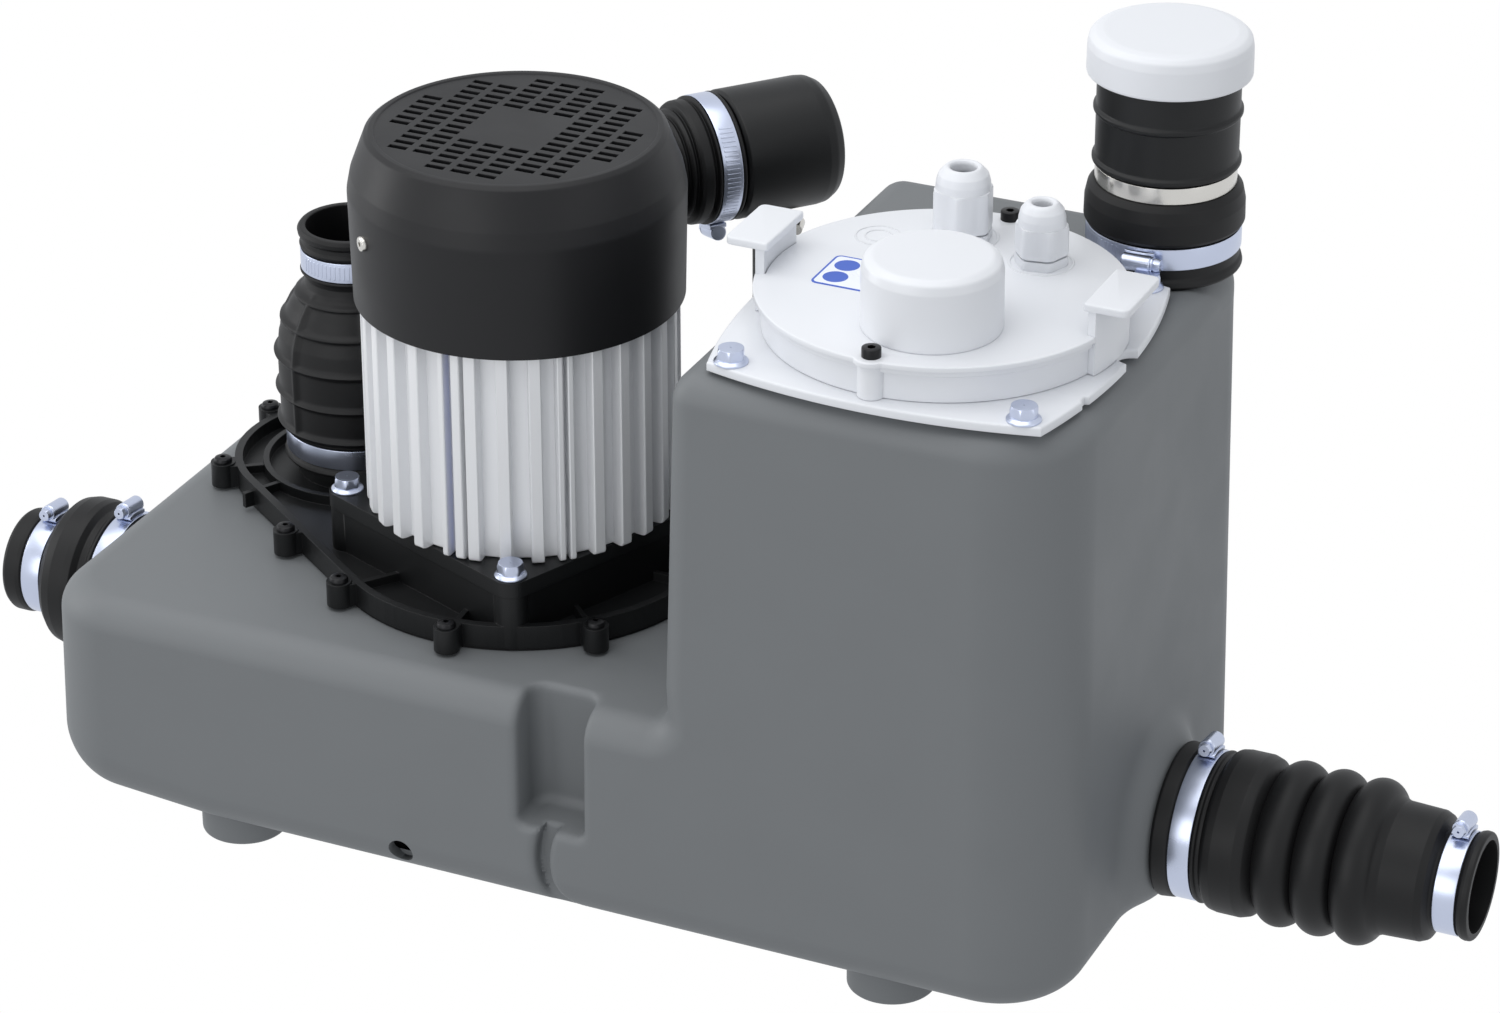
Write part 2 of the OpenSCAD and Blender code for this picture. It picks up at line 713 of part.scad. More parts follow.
left_len = 94.4;
left_small = small_out + 0.8;
module left_inlet_boot() {
    color(black) at_inlet(-1) difference() {
        union() {
            translate([0, 0, left_big_z - lip_to_band]) big_end(31);
            rotate_extrude() polygon([[0, 52], [43.5, 52], [44, 58], [42.5, 64], [38, 70], [33, 74],
                [left_small, 75], [left_small, left_len], [0, left_len]]);
            bead(left_small, left_len - 2, 1.6);
            bead(left_small, 74, 1.5);
        }
        translate([0, 0, 10]) cylinder(h = 34, r = boot_in);
        translate([0, 0, 43]) cylinder(h = 26, r1 = stub_r, r2 = pipe_r);
        translate([0, 0, 60]) cylinder(h = 40, r = pipe_r);
    }
}

left_big_z = 34;
left_small_z = 81;
module left_inlet_clamps() {
    color(zinc) at_inlet(-1) {
        band(boot_out + 0.1, band_w, left_big_z);
        worm_housing(boot_out, left_big_z, 190);
        band(left_small + 0.1, band_w, left_small_z + 2);
        worm_housing(left_small, left_small_z + 2, 190);
    }
}

right_len = 178;
wave_r = 40.5;
wave_h = 4;
wave_0 = 66;
wave_pitch = 21.5;
waves = 3;
// Outer line of the bellows: a cosine wave of radius over the length
function wave(z) = wave_r + wave_h * cos((z - wave_0) / wave_pitch * 360 - 180);
module right_inlet_boot() {
    color(black) at_inlet(1) difference() {
        union() {
            translate([0, 0, right_big_z - lip_to_band]) big_end(26);
            rotate_extrude() polygon(concat([[0, 34], [43, 34], [44, 44], [44, 60]],
                [for (k = [0:waves * 12]) let (z = wave_0 - 1 + k * wave_pitch / 12) [wave(z), z]],
                [[37, 131], [36, 134], [35, 150], [32, 153], [small_out - 0.4, 155],
                [small_out - 0.4, right_len], [0, right_len]]));
            bead(small_out, right_len - 2.2, 1.8);
        }
        translate([0, 0, 8]) cylinder(h = 30, r = boot_in);
        translate([0, 0, 37]) cylinder(h = 84, r = stub_r - 3);
        translate([0, 0, 120]) cylinder(h = 30, r1 = stub_r - 3, r2 = pipe_r);
        translate([0, 0, 140]) cylinder(h = 50, r = pipe_r);
    }
}

right_big_z = 21;
right_small_z = 163;
module right_inlet_clamps() {
    color(zinc) at_inlet(1) {
        band(boot_out + 0.1, band_w, right_big_z);
        worm_housing(boot_out, right_big_z, 175);
        band(small_out - 0.3, band_w, right_small_z);
        worm_housing(small_out - 0.4, right_small_z, 175);
    }
}

// Vent stack

boot_top = top_z + 47;
module vent_boot() {
    color(black) at_vent() difference() {
        union() {
            translate([0, 0, top_z + 0.4]) cylinder(h = 30, r = boot_out);
            bead(boot_out, top_z + 2.4, 1.9);
            rotate_extrude() polygon([[0, boot_top - 24], [boot_out + 2, boot_top - 24],
                [boot_out + 2.2, boot_top - 10], [boot_out + 0.8, boot_top - 3],
                [boot_out - 2, boot_top], [0, boot_top]]);
            bead(boot_out + 0.6, boot_top - 23, 1.8);
        }
        translate([0, 0, top_z - 1]) cylinder(h = 28, r = boot_in);
        translate([0, 0, top_z + 26]) cylinder(h = 60, r = 36 + soft_gap);
    }
}

vent_clamp_z = top_z + 15;
module vent_clamp() {
    color(zinc) at_vent() {
        band(boot_out + 0.1, band_w, vent_clamp_z);
        worm_housing(boot_out, vent_clamp_z, 218);
    }
}

module vent_sleeve() {
    color(black) at_vent() difference() {
        union() {
            translate([0, 0, top_z + 27]) cylinder(h = cap_top - cap_gap - top_z - 27, r = 36);
            translate([0, 0, boot_top + 10]) cylinder(h = cap_top - cap_gap - boot_top - 10, r = 37.6);
            bead(37.6, boot_top + 12, 1.6);
            bead(37.6, boot_top + 40, 1.6);
        }
        translate([0, 0, top_z + 20]) cylinder(h = cap_top - top_z, r = 31.5);
    }
}

module vent_band() {
    color(steel) at_vent() translate([0, 0, boot_top + 0.2]) tube(37.4, 36.1, 9);
}

// Gap from the top of the cap to the end of the sleeve inside it, and the height of the cap
cap_gap = 9;
cap_h = 23;
module vent_cap() {
    color(white) at_vent(cap_top - cap_h) difference() {
        rotate_extrude() polygon([[0, 0], [42.8, 0], [43.3, 0.8], [43.1, cap_h - 7],
            [42, cap_h - 3.4], [39.5, cap_h - 1], [35, cap_h], [0, cap_h]]);
        translate([0, 0, -1]) cylinder(h = cap_h + 2 - cap_gap, r = 37.8);
    }
}

// Lid and control unit

// Half width of the bowed lid plate, and the radius of its sides
plate_half = 102;
plate_bow = 350;
module plate_outline() {
    difference() {
        intersection() {
            for_sides() circle(plate_bow, $fn = 360);
            circle(129, $fn = 128);
        }
        translate([vent_x - lid_x, vent_y - lid_y]) circle(stub_r + rubber + 3.4);
        translate([plate_half, 4]) circle(8);
        translate([plate_half - 4, -54]) square([12, 6]);
    }
}

// Intersection of the child set off to each of the four sides
module for_sides() {
    away = plate_bow - plate_half;
    intersection() {
        translate([away, 0]) children();
        translate([-away, 0]) children();
        translate([0, away]) children();
        translate([0, -away]) children();
    }
}

module lid_plate() {
    color(white) difference() {
        union() {
            at_lid(lid_plate_z) linear_extrude(5) plate_outline();
            at_lid(lid_plate_z - 12) tube(lid_hole - 1, lid_hole - 5, 14);
            at_lid(lid_plate_z + 4) tube(housing_r - 4, housing_r - 8, 8);
        }
        at_lid(lid_plate_z - 1) cylinder(h = 20, r = lid_hole - 5);
        at_lid_bolts() translate([0, 0, lid_plate_z - 1]) cylinder(h = 20, r = 4 + screw_gap);
    }
}

module lid_seal() {
    color("#2a2a2a") at_lid(top_z) tube(lid_hole + 6, lid_hole, seal_t);
}

module lid_bolts() {
    color(zinc) at_lid_bolts() translate([0, 0, lid_plate_top]) hex_bolt(13, 8, 8.9, 4, 16);
}

// Lifting handle of the control housing: a curved upright and a flat grip that looks outwards
grip_z = disc_z + 17.5;
grip_y = -3;
module handle(side, d = 0) {
    low = lid_plate_top + 0.3;
    intersection() {
        translate([0, 0, low]) tube(disc_r - 0.2 + d, disc_r - 5 - d, grip_z - 1 - low);
        translate([side > 0 ? 60 : -120, grip_y - 22 - d, low]) cube([60, 44 + 2 * d, 60]);
    }
}

module grip(side) {
    translate([side > 0 ? 86 : -110, grip_y - 23, grip_z - 4]) cube([24, 46, 4]);
}

module control_housing() {
    color(white) at_lid() difference() {
        union() {
            translate([0, 0, lid_plate_top + 0.3])
                cylinder(h = disc_z - disc_t - lid_plate_top - 0.3, r = housing_r);
            translate([0, 0, disc_z - disc_t - 4]) cylinder(h = 4, r = disc_r - 1);
            for (sy = [-1, 1]) translate([0, sy * cap_row, lid_plate_top + 0.3])
                cylinder(h = disc_z - disc_t - lid_plate_top - 0.3, r = 7);
            for (side = [-1, 1]) {
                handle(side);
                grip(side);
            }
        }
        translate([0, 0, lid_plate_top - 1]) cylinder(h = disc_z - disc_t - lid_plate_top - 3.5,
            r = housing_r - 3.6);
        translate([0, 0, lid_plate_top + 8]) cylinder(h = disc_z - lid_plate_top,
            r = housing_r - 7);
        for (sy = [-1, 1]) translate([0, sy * cap_row, lid_plate_top - 6])
            cylinder(h = disc_z - lid_plate_top + 20, r = 3);
        rotate([0, 0, -62]) translate([housing_r - 2, -2.5, lid_plate_top + 8]) cube([6, 5, 5]);
    }
}

module control_cover() {
    color(white) at_lid(disc_z - disc_t) difference() {
        union() {
            cylinder(h = disc_t, r = disc_r);
            for (sy = [-1, 1]) translate([0, sy * cap_row, 0]) cylinder(h = disc_t, r = 9);
        }
        for (side = [-1, 1]) translate([side > 0 ? 60 : -120, grip_y - 22.4, -1])
            intersection() {
                cube([60, 44.8, 10]);
                translate([side > 0 ? -60 : 120, 22.4 - grip_y, 0]) tube(120, disc_r - 5.4, 10);
            }
        for (sy = [-1, 1]) translate([0, sy * cap_row, -1]) cylinder(h = 10, r = 2.5 + screw_gap);
        translate([gland_l[0], gland_l[1], -1]) cylinder(h = 10, r = 12.2);
        translate([gland_s[0], gland_s[1], -1]) cylinder(h = 10, r = 10.2);
        translate([-54, 43, disc_t - 0.5]) tube(12, 11, 1);
    }
}

// Places of the cap screws, the glands and the dome, from the centre of the lid
cap_row = 91;
gland_l = [-14, 60];
gland_s = [35, 47];
dome_c = [13, -45];

module control_screws() {
    color("#202022") at_lid(disc_z) for (sy = [-1, 1]) translate([0, sy * cap_row, 0])
        socket_screw(5, 5, 4, 2.5, 18);
}

module alarm_dome() {
    color(white) at_lid(disc_z) translate([dome_c[0], dome_c[1], 0]) difference() {
        rotate_extrude() polygon([[0, 0], [35.6, 0], [36, 0.8], [36, 26], [35.2, 31], [32.8, 34.6],
            [28, 37], [20, 38.4], [0, 39]]);
        translate([0, 0, -1]) cylinder(h = 34, r = 32);
    }
}

// Cable gland body: hex collar, threaded barrel and a bore for a cable
module gland(af, collar, r, r_bore, h) {
    difference() {
        union() {
            cylinder(h = collar, r = af / sqrt(3), $fn = 6);
            translate([0, 0, -10]) cylinder(h = h, r = r);
        }
        translate([0, 0, -11]) cylinder(h = h + 2, r = r_bore);
    }
}

module gland_nut(af, z, r_thread, h, r_bore) {
    translate([0, 0, z]) difference() {
        union() {
            intersection() {
                cylinder(h = h - 3, r = af / sqrt(3), $fn = 6);
                cylinder(h = h, r = af * 0.545);
            }
            rotate_extrude() polygon([[0, h - 12], [af * 0.5, h - 12], [af * 0.5, h - 9],
                [af * 0.47, h - 5], [af * 0.4, h - 2], [r_bore + 2.5, h], [0, h]]);
        }
        translate([0, 0, -1]) cylinder(h = h - 6, r = r_thread + run_gap);
        translate([0, 0, -1]) cylinder(h = h + 2, r = r_bore);
    }
}

module large_gland() {
    color(white) at_lid(disc_z) translate([gland_l[0], gland_l[1], 0]) gland(29, 5, 12, 6.8, 32);
}

module large_gland_nut() {
    color(white) at_lid(disc_z) translate([gland_l[0], gland_l[1], 0]) gland_nut(29, 6, 12, 34, 6.8);
}

module small_gland() {
    color(white) at_lid(disc_z) translate([gland_s[0], gland_s[1], 0]) gland(25, 5, 10, 5, 28);
}

module small_gland_nut() {
    color(white) at_lid(disc_z) translate([gland_s[0], gland_s[1], 0]) gland_nut(25, 6, 10, 28, 5);
}

module control_label() {
    color("#dfe6f5") at_lid(disc_z) translate([-62, 2, 0]) linear_extrude(0.4)
        hull() for (x = [0, 26], y = [0, 30]) translate([x, y]) circle(3, $fn = 24);
}

module pressure_tubes() {
    color("#9a9c9e") at_lid() {
        translate([-30, -20, 60]) tube(16, 13.5, disc_z - disc_t - 60);
        translate([30, 10, 190]) tube(16, 13.5, disc_z - disc_t - 190);
    }
}

module control_board() {
    color("#2f6b46") at_lid(disc_z - disc_t - 1.6) translate([-24, -74, 0]) cube([60, 30, 1.6]);
}

// Barrel valve behind the motor

module valve_elbow() {
    color(black) difference() {
        union() {
            translate([leg_x, leg_y, cover_z + plate_t + 0.5])
                cylinder(h = barrel_z - bend_r - cover_z - plate_t + 2, r = leg_r - 0.4);
            translate([leg_x, leg_y, cover_z + plate_t + 0.5]) cylinder(h = 5, r = leg_r + 1.6);
            translate([leg_x, leg_y, barrel_z - bend_r]) rotate([0, 0, barrel_a])
                translate([bend_r, 0, 0]) rotate([90, 0, 180]) rotate_extrude(angle = 90)
                translate([bend_r, 0]) circle(leg_r);
            at_barrel(bend_r - 8) rotate_extrude() polygon([[0, 0], [leg_r - 1, 0], [33, 8],
                [35.4, 9], [35.8, 11], [34.6, 12.6], [34.2, 14.4], [36.8, 15.2], [36.8, 16.4],
                [35.8, 17], [35.8, 29], [37, 29.6], [37, 31], [35.6, 32], [0, 32]]);
        }
        translate([leg_x, leg_y, cover_z]) cylinder(h = barrel_z - bend_r - cover_z + 1,
            r = leg_bore + 1 + soft_gap);
        translate([leg_x, leg_y, barrel_z - bend_r]) rotate([0, 0, barrel_a])
            translate([bend_r, 0, 0]) rotate([90, 0, 180]) rotate_extrude(angle = 90)
            translate([bend_r, 0]) circle(leg_bore);
        at_barrel(bend_r - 1) cylinder(h = 6, r = leg_bore + 0.6);
        at_barrel(bend_r + 2.9) cylinder(h = 30, r = 31 + soft_gap);
    }
}

module valve_barrel() {
    color(black) {
        barrel_shell();
        at_barrel(seat_t - 6) difference() {
            for (sy = [-1, 1]) translate([-31.5, sy * 10 - 1.5, 0]) cube([6.2, 3, 7]);
            translate([-28, -20, 3.4]) rotate([-90, 0, 0]) cylinder(h = 40, r = 1.6 + run_gap);
        }
    }
}

module barrel_shell() {
    difference() {
        union() {
            at_barrel(bend_r + 3.2) cylinder(h = 24, r = 31);
            at_barrel(neck_t + 10) rotate_extrude() polygon([[0, 0], [35.4, 0], [barrel_r, 1.6],
                [barrel_r, barrel_l - 10], [barrel_r - 1.4, barrel_l - 5],
                [barrel_r - 4.6, barrel_l - 1.4], [barrel_r - 9, barrel_l], [0, barrel_l]]);
            translate([barrel_px(nipple_t), barrel_py(nipple_t), barrel_z - barrel_r - 22])
                cylinder(h = 30, r = nipple_r);
        }
        at_barrel(bend_r) cylinder(h = 40, r = leg_bore + 8);
        at_barrel(neck_t + 12) cylinder(h = seat_t - neck_t - 12, r = barrel_r - 4);
        at_barrel(neck_t + 20) cylinder(h = barrel_l, r = pipe_r);
        translate([barrel_px(nipple_t), barrel_py(nipple_t), barrel_z - barrel_r - 30])
            cylinder(h = 36, r = nipple_r - 3);
    }
}

module valve_flap() {
    color("#3c3d40") at_barrel(seat_t - 3.1) {
        difference() {
            cylinder(h = 3, r = pipe_r + 0.8);
            for (sy = [-1, 1]) translate([-30, sy * 10 - 1.8, -1]) cube([6.6, 3.6, 5]);
        }
        translate([-28, -8, 0]) cube([10, 16, 3]);
        translate([-28, -11.4, 0.5]) rotate([-90, 0, 0]) cylinder(h = 22.8, r = 1.6);
    }
}

module valve_clamp() {
    color(zinc) at_barrel() {
        band(35.9, band_w, neck_t);
        worm_housing(35.8, neck_t, 60);
    }
}

hose_r = 10.5;
module drain_hose() {
    color(black) difference() {
        union() {
            translate([barrel_px(nipple_t), barrel_py(nipple_t), drain_z + 24])
                cylinder(h = barrel_z - barrel_r - 1 - drain_z - 24, r = hose_r);
            translate([barrel_px(nipple_t), barrel_py(nipple_t) - 24, drain_z + 24])
                rotate([90, 0, -90]) rotate([0, 0, 180]) rotate_extrude(angle = 90)
                translate([24, 0]) circle(hose_r);
            translate([barrel_px(nipple_t), half_d + 1, drain_z]) rotate([-90, 0, 0])
                cylinder(h = barrel_py(nipple_t) - 24 - half_d - 0.98, r = hose_r);
        }
        translate([barrel_px(nipple_t), barrel_py(nipple_t), drain_z + 23.9])
            cylinder(h = 300, r = nipple_r + run_gap);
        translate([barrel_px(nipple_t), half_d - 1, drain_z]) rotate([-90, 0, 0])
            cylinder(h = barrel_py(nipple_t) - 23.9 - half_d + 1, r = nipple_r + run_gap);
    }
}

hose_clamp_z = 282;
module drain_clamps() {
    color(steel) translate([barrel_px(nipple_t), barrel_py(nipple_t), 0]) {
        translate([0, 0, hose_clamp_z - 4.5]) tube(hose_r + 0.9, hose_r + 0.1, 9);
        rotate([0, 0, 15]) translate([hose_r + 0.5, -6, hose_clamp_z - 4]) cube([3, 12, 8]);
        rotate([0, 0, 15]) translate([hose_r + 5, -6, hose_clamp_z]) rotate([-90, 0, 0])
            cylinder(h = 11, r = 3.4);
    }
}

module clamp_screws() {
    color(zinc) {
        at_discharge() worm_screw(boot_out, dis_clamp_z, dis_low_worm);
        at_discharge() worm_screw(small_out, neck_z, dis_top_worm);
        at_inlet(-1) worm_screw(boot_out, left_big_z, 190);
        at_inlet(-1) worm_screw(left_small, left_small_z + 2, 190);
        at_inlet(1) worm_screw(boot_out, right_big_z, 175);
        at_inlet(1) worm_screw(small_out - 0.4, right_small_z, 175);
        at_vent() worm_screw(boot_out, vent_clamp_z, 218);
        at_barrel() worm_screw(35.8, neck_t, 60);
    }
}

tank();
pump_cover();
pump_cover_seal();
pump_cover_screws();
volute_casing();
volute_screws();
impeller();
impeller_nut();
shaft_seal();
motor_shaft();
lower_bearing();
upper_bearing();
rotor();
stator();
motor_flange();
motor_bolts();
motor_housing();
upper_shield();
motor_label();
cooling_fan();
fan_cover();
fan_cover_screws();
discharge_boot();
discharge_flap();
discharge_clamps();
left_inlet_boot();
left_inlet_clamps();
right_inlet_boot();
right_inlet_clamps();
vent_boot();
vent_sleeve();
vent_clamp();
vent_band();
vent_cap();
lid_plate();
lid_seal();
lid_bolts();
control_housing();
control_cover();
control_screws();
alarm_dome();
large_gland();
large_gland_nut();
small_gland();
small_gland_nut();
control_label();
pressure_tubes();
control_board();
valve_elbow();
valve_barrel();
valve_flap();
valve_clamp();
drain_hose();
drain_clamps();
clamp_screws();
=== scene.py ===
import math

import bmesh
import bpy
import numpy as np
from mathutils import Matrix, Vector


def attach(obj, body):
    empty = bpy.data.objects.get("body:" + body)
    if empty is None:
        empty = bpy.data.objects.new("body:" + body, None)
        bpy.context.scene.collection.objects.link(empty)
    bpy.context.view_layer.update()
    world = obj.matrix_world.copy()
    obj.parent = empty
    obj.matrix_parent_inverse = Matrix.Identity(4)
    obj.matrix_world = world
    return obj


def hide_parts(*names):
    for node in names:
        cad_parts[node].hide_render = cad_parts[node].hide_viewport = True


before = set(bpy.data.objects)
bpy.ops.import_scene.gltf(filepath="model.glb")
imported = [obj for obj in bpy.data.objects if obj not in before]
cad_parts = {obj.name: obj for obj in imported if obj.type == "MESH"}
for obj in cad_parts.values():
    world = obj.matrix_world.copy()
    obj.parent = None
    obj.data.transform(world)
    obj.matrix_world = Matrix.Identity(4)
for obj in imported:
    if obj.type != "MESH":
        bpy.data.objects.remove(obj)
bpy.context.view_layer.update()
MM = 0.001

# Sizes in millimetres. Most are those of the solids; fins, bands and label follow the photo.
HALF_L, HALF_D = 303.0, 149.0
FOOT_H, DECK_Z, TOP_Z, TALL_X = 17.5, 143.5, 349.0, 78.0
LEAN, EDGE_LOW, EDGE_TOP = 5.0, 24.0, 15.0
RISE = TOP_Z - EDGE_TOP - FOOT_H - EDGE_LOW
SLOPE, STEP_LEAN, WALL = LEAN / RISE, 7.0, 6.0
CORNER_LEFT, CORNER_RIGHT = 42.0, 50.0
FOOT_R, FOOT_X, FOOT_Y = 24.0, 196.5, 108.0
STUB_R, STUB_BORE, STUB_OUT = 35.0, 29.0, 31.0
INLET_Z = 71.5
MOTOR = (-71.5, -1.0)
DISCHARGE = (-205.0, 52.0)
VENT = (260.5, 94.0)
LID = (191.5, -42.0)
LEG = (-69.0, 113.5)
BARREL_Z, BARREL_A, BEND_R, LEG_R = 330.0, 50.0, 40.0, 23.0
NIPPLE_T, DRAIN_Z = 95.0, 112.0
NIPPLE_X = LEG[0] + NIPPLE_T * math.cos(math.radians(BARREL_A))
NIPPLE_Y = LEG[1] + NIPPLE_T * math.sin(math.radians(BARREL_A))
BOOT_R, SMALL_R, MOUTH_BORE = 40.0, 27.6, 35.3
FIN_R, COVER_R, COVER_TOP = 86.5, 91.0, 402.5
FLANGE_TOP, FLANGE_BOLT_R, FIN_LOW, FIN_TOP = 185.0, 98.0, 185.2, 316.0
MOTOR_ROW_R, TAIL_ROW_R, COVER_SEAT = 114.0, 78.0, 159.5
DISC_R, DISC_Z, PLATE_TOP = 96.5, 377.5, 356.0
LID_BORE_R, LID_SCREW_R, GRIP_LOW, GRIP_TOP = 79.2, 91.0, 390.8, 395.0
LARGE_GLAND, SMALL_GLAND = (-14, 60), (35, 47)
BLIND_X, BLIND_Z, BLIND_R = -76.0, 33.7, 7.3
POCKET = dict(x=(-4.5, 34.5), low=68.0, deep=28.0)
GROOVE = dict(x=55.5, z=50.0, r=46.0, half=4.0, deep=9.0, reach=26.0, end=40.0)
# Round holes in the top faces: centre, radius and the height at which each begins
HOLES = ((VENT, STUB_BORE, TOP_Z - 14), (LID, 84.0, TOP_Z - 14),
         (MOTOR, 93.0, DECK_Z - 12), (DISCHARGE, 57.0, DECK_Z - 12))


# Meshes

def mesh_object(name, verts, faces, sharp=35.0):
    """Object at the origin from points in millimetres, smooth up to the angle given."""
    mesh = bpy.data.meshes.new(name)
    mesh.from_pydata([tuple(v * MM for v in p) for p in verts], [], faces)
    mesh.validate()
    bm = bmesh.new()
    bm.from_mesh(mesh)
    bmesh.ops.remove_doubles(bm, verts=bm.verts, dist=2e-6)
    bmesh.ops.recalc_face_normals(bm, faces=bm.faces)
    bm.to_mesh(mesh)
    bm.free()
    mesh.polygons.foreach_set("use_smooth", [True] * len(mesh.polygons))
    mesh.set_sharp_from_angle(angle=math.radians(sharp))
    obj = bpy.data.objects.new(name, mesh)
    bpy.context.scene.collection.objects.link(obj)
    return obj


def soft(points, radius, steps=5, closed=False):
    """Line with its corners rounded; radius is one number or one for each corner."""
    count = len(points)
    radii = radius if hasattr(radius, "__len__") else [radius] * count
    out = []
    for i, p in enumerate(points):
        if not closed and i in (0, count - 1):
            out.append(tuple(p))
            continue
        a, b = points[i - 1], points[(i + 1) % count]
        va = (a[0] - p[0], a[1] - p[1])
        vb = (b[0] - p[0], b[1] - p[1])
        la, lb = math.hypot(*va), math.hypot(*vb)
        if radii[i] <= 0 or la < 1e-6 or lb < 1e-6:
            out.append(tuple(p))
            continue
        cosine = max(-1.0, min(1.0, (va[0] * vb[0] + va[1] * vb[1]) / la / lb))
        half = math.acos(cosine) / 2
        reach = min(radii[i] / max(math.tan(half), 1e-3), 0.48 * la, 0.48 * lb)
        s = (p[0] + va[0] / la * reach, p[1] + va[1] / la * reach)
        e = (p[0] + vb[0] / lb * reach, p[1] + vb[1] / lb * reach)
        for k in range(steps + 1):
            t = k / steps
            w = 0.5 * (1 - t) ** 2, 2 * t * (1 - t) * 0.5, 0.5 * t ** 2
            total = sum(w)
            out.append(tuple((w[0] * s[j] + w[1] * p[j] + w[2] * e[j]) / total for j in (0, 1)))
    return out


def skin(rows, count, closed=False):
    """Quads between neighbouring rings of points; closed also joins the last to the first."""
    faces = []
    for i in range(rows if closed else rows - 1):
        low, high = i * count, (i + 1) % rows * count
        for k in range(count):
            n = (k + 1) % count
            faces.append((low + k, low + n, high + n, high + k))
    return faces


def end_faces(rows, count):
    """Faces that close the first and the last ring."""
    return [tuple(range(count))[::-1], tuple((rows - 1) * count + k for k in range(count))]


def around(count):
    """Angles of a full turn, in equal steps."""
    return [2 * math.pi * k / count for k in range(count)]


def lathe_data(profile, segments, place=None, closed=False):
    """Points and faces of a profile of (radius, height) turned about Z, then placed."""
    place = place or Matrix.Identity(4)
    verts = [place @ Vector((r * math.cos(a), r * math.sin(a), z))
             for r, z in profile for a in around(segments)]
    return verts, skin(len(profile), segments, closed)


def ring_points(r, count, x, y):
    return [(x + r * math.cos(a), y + r * math.sin(a)) for a in around(count)]


def join_data(*parts):
    """Points and faces of several parts as one mesh."""
    verts, faces = [], []
    for v, f in parts:
        base = len(verts)
        verts.extend(v)
        faces.extend(tuple(i + base for i in face) for face in f)
    return verts, faces


def slab_data(outline, z0, z1, top=0.0, low=0.0, place=None):
    """Solid over a plan outline, with rounded top and lower edges."""
    place = place or Matrix.Identity(4)
    pts = np.array(outline, float)
    ahead, back = np.roll(pts, -1, 0), np.roll(pts, 1, 0)
    t = ahead - back
    t /= np.maximum(np.linalg.norm(t, axis=1, keepdims=True), 1e-9)
    area = 0.5 * np.sum(pts[:, 0] * ahead[:, 1] - ahead[:, 0] * pts[:, 1])
    normal = np.stack([t[:, 1], -t[:, 0]], 1) * (1 if area > 0 else -1)
    quarter = [math.pi / 2 * k / 4 for k in range(5)]
    rows = [(low * (1 - math.sin(a)), z0 + low * (1 - math.cos(a))) for a in quarter]
    rows += [(top * (1 - math.cos(a)), z1 - top * (1 - math.sin(a))) for a in quarter]
    verts = [place @ Vector((*(p - n * inset), z)) for inset, z in rows for p, n in zip(pts, normal)]
    return verts, skin(len(rows), len(pts)) + end_faces(len(rows), len(pts))


def sweep_data(path, radii, segments, inner):
    """Round tube along a path, with an outer radius for each point and one inner radius."""
    up, frames = None, []
    for i, p in enumerate(path):
        ahead = path[min(i + 1, len(path) - 1)]
        back = path[max(i - 1, 0)]
        t = (ahead - back).normalized()
        if up is None:
            up = t.orthogonal().normalized()
        up = (up - t * up.dot(t)).normalized()
        frames.append((p, up.copy(), t.cross(up)))
    rings = list(zip(frames, radii)) + [(f, inner) for f in reversed(frames)]
    verts = [p + u * (r * math.cos(a)) + v * (r * math.sin(a))
             for (p, u, v), r in rings for a in around(segments)]
    return verts, skin(len(rings), segments, closed=True)


def at(x, y, z=0.0, turn=0.0):
    """Upright frame at a place, turned about Z by degrees."""
    return Matrix.Translation((x, y, z)) @ Matrix.Rotation(math.radians(turn), 4, "Z")


def inlet(side):
    """Local +Z runs out of the tank along the inlet axis."""
    return at(side * HALF_L, 0, INLET_Z) @ Matrix.Rotation(side * math.pi / 2, 4, "Y")


def barrel():
    """Local +Z runs along the barrel, away from the elbow's upright."""
    return at(*LEG, BARREL_Z, BARREL_A) @ Matrix.Rotation(math.pi / 2, 4, "Y")


# Implicit solids: signed distances in millimetres

def smooth_max(a, b, k):
    """Intersection of two distances, blended over a width k."""
    h = np.maximum(k - np.abs(a - b), 0) / k
    return np.maximum(a, b) + h * h * k / 4


def smooth_min(a, b, k):
    return -smooth_max(-a, -b, k)


def round_pair(a, b, r):
    """Intersection of two half spaces with an edge radius r."""
    return (np.minimum(np.maximum(a, b), -r)
            + np.hypot(np.maximum(a + r, 0), np.maximum(b + r, 0)))


def cylinder_distance(p, centre, axis, r, low, high, edge):
    """Bar along an axis from low to high, with rounded ends."""
    other = [i for i in range(3) if i != axis]
    radial = np.hypot(p[:, other[0]] - centre[0], p[:, other[1]] - centre[1]) - r
    along = np.maximum(low - p[:, axis], p[:, axis] - high)
    return round_pair(radial, along, edge)


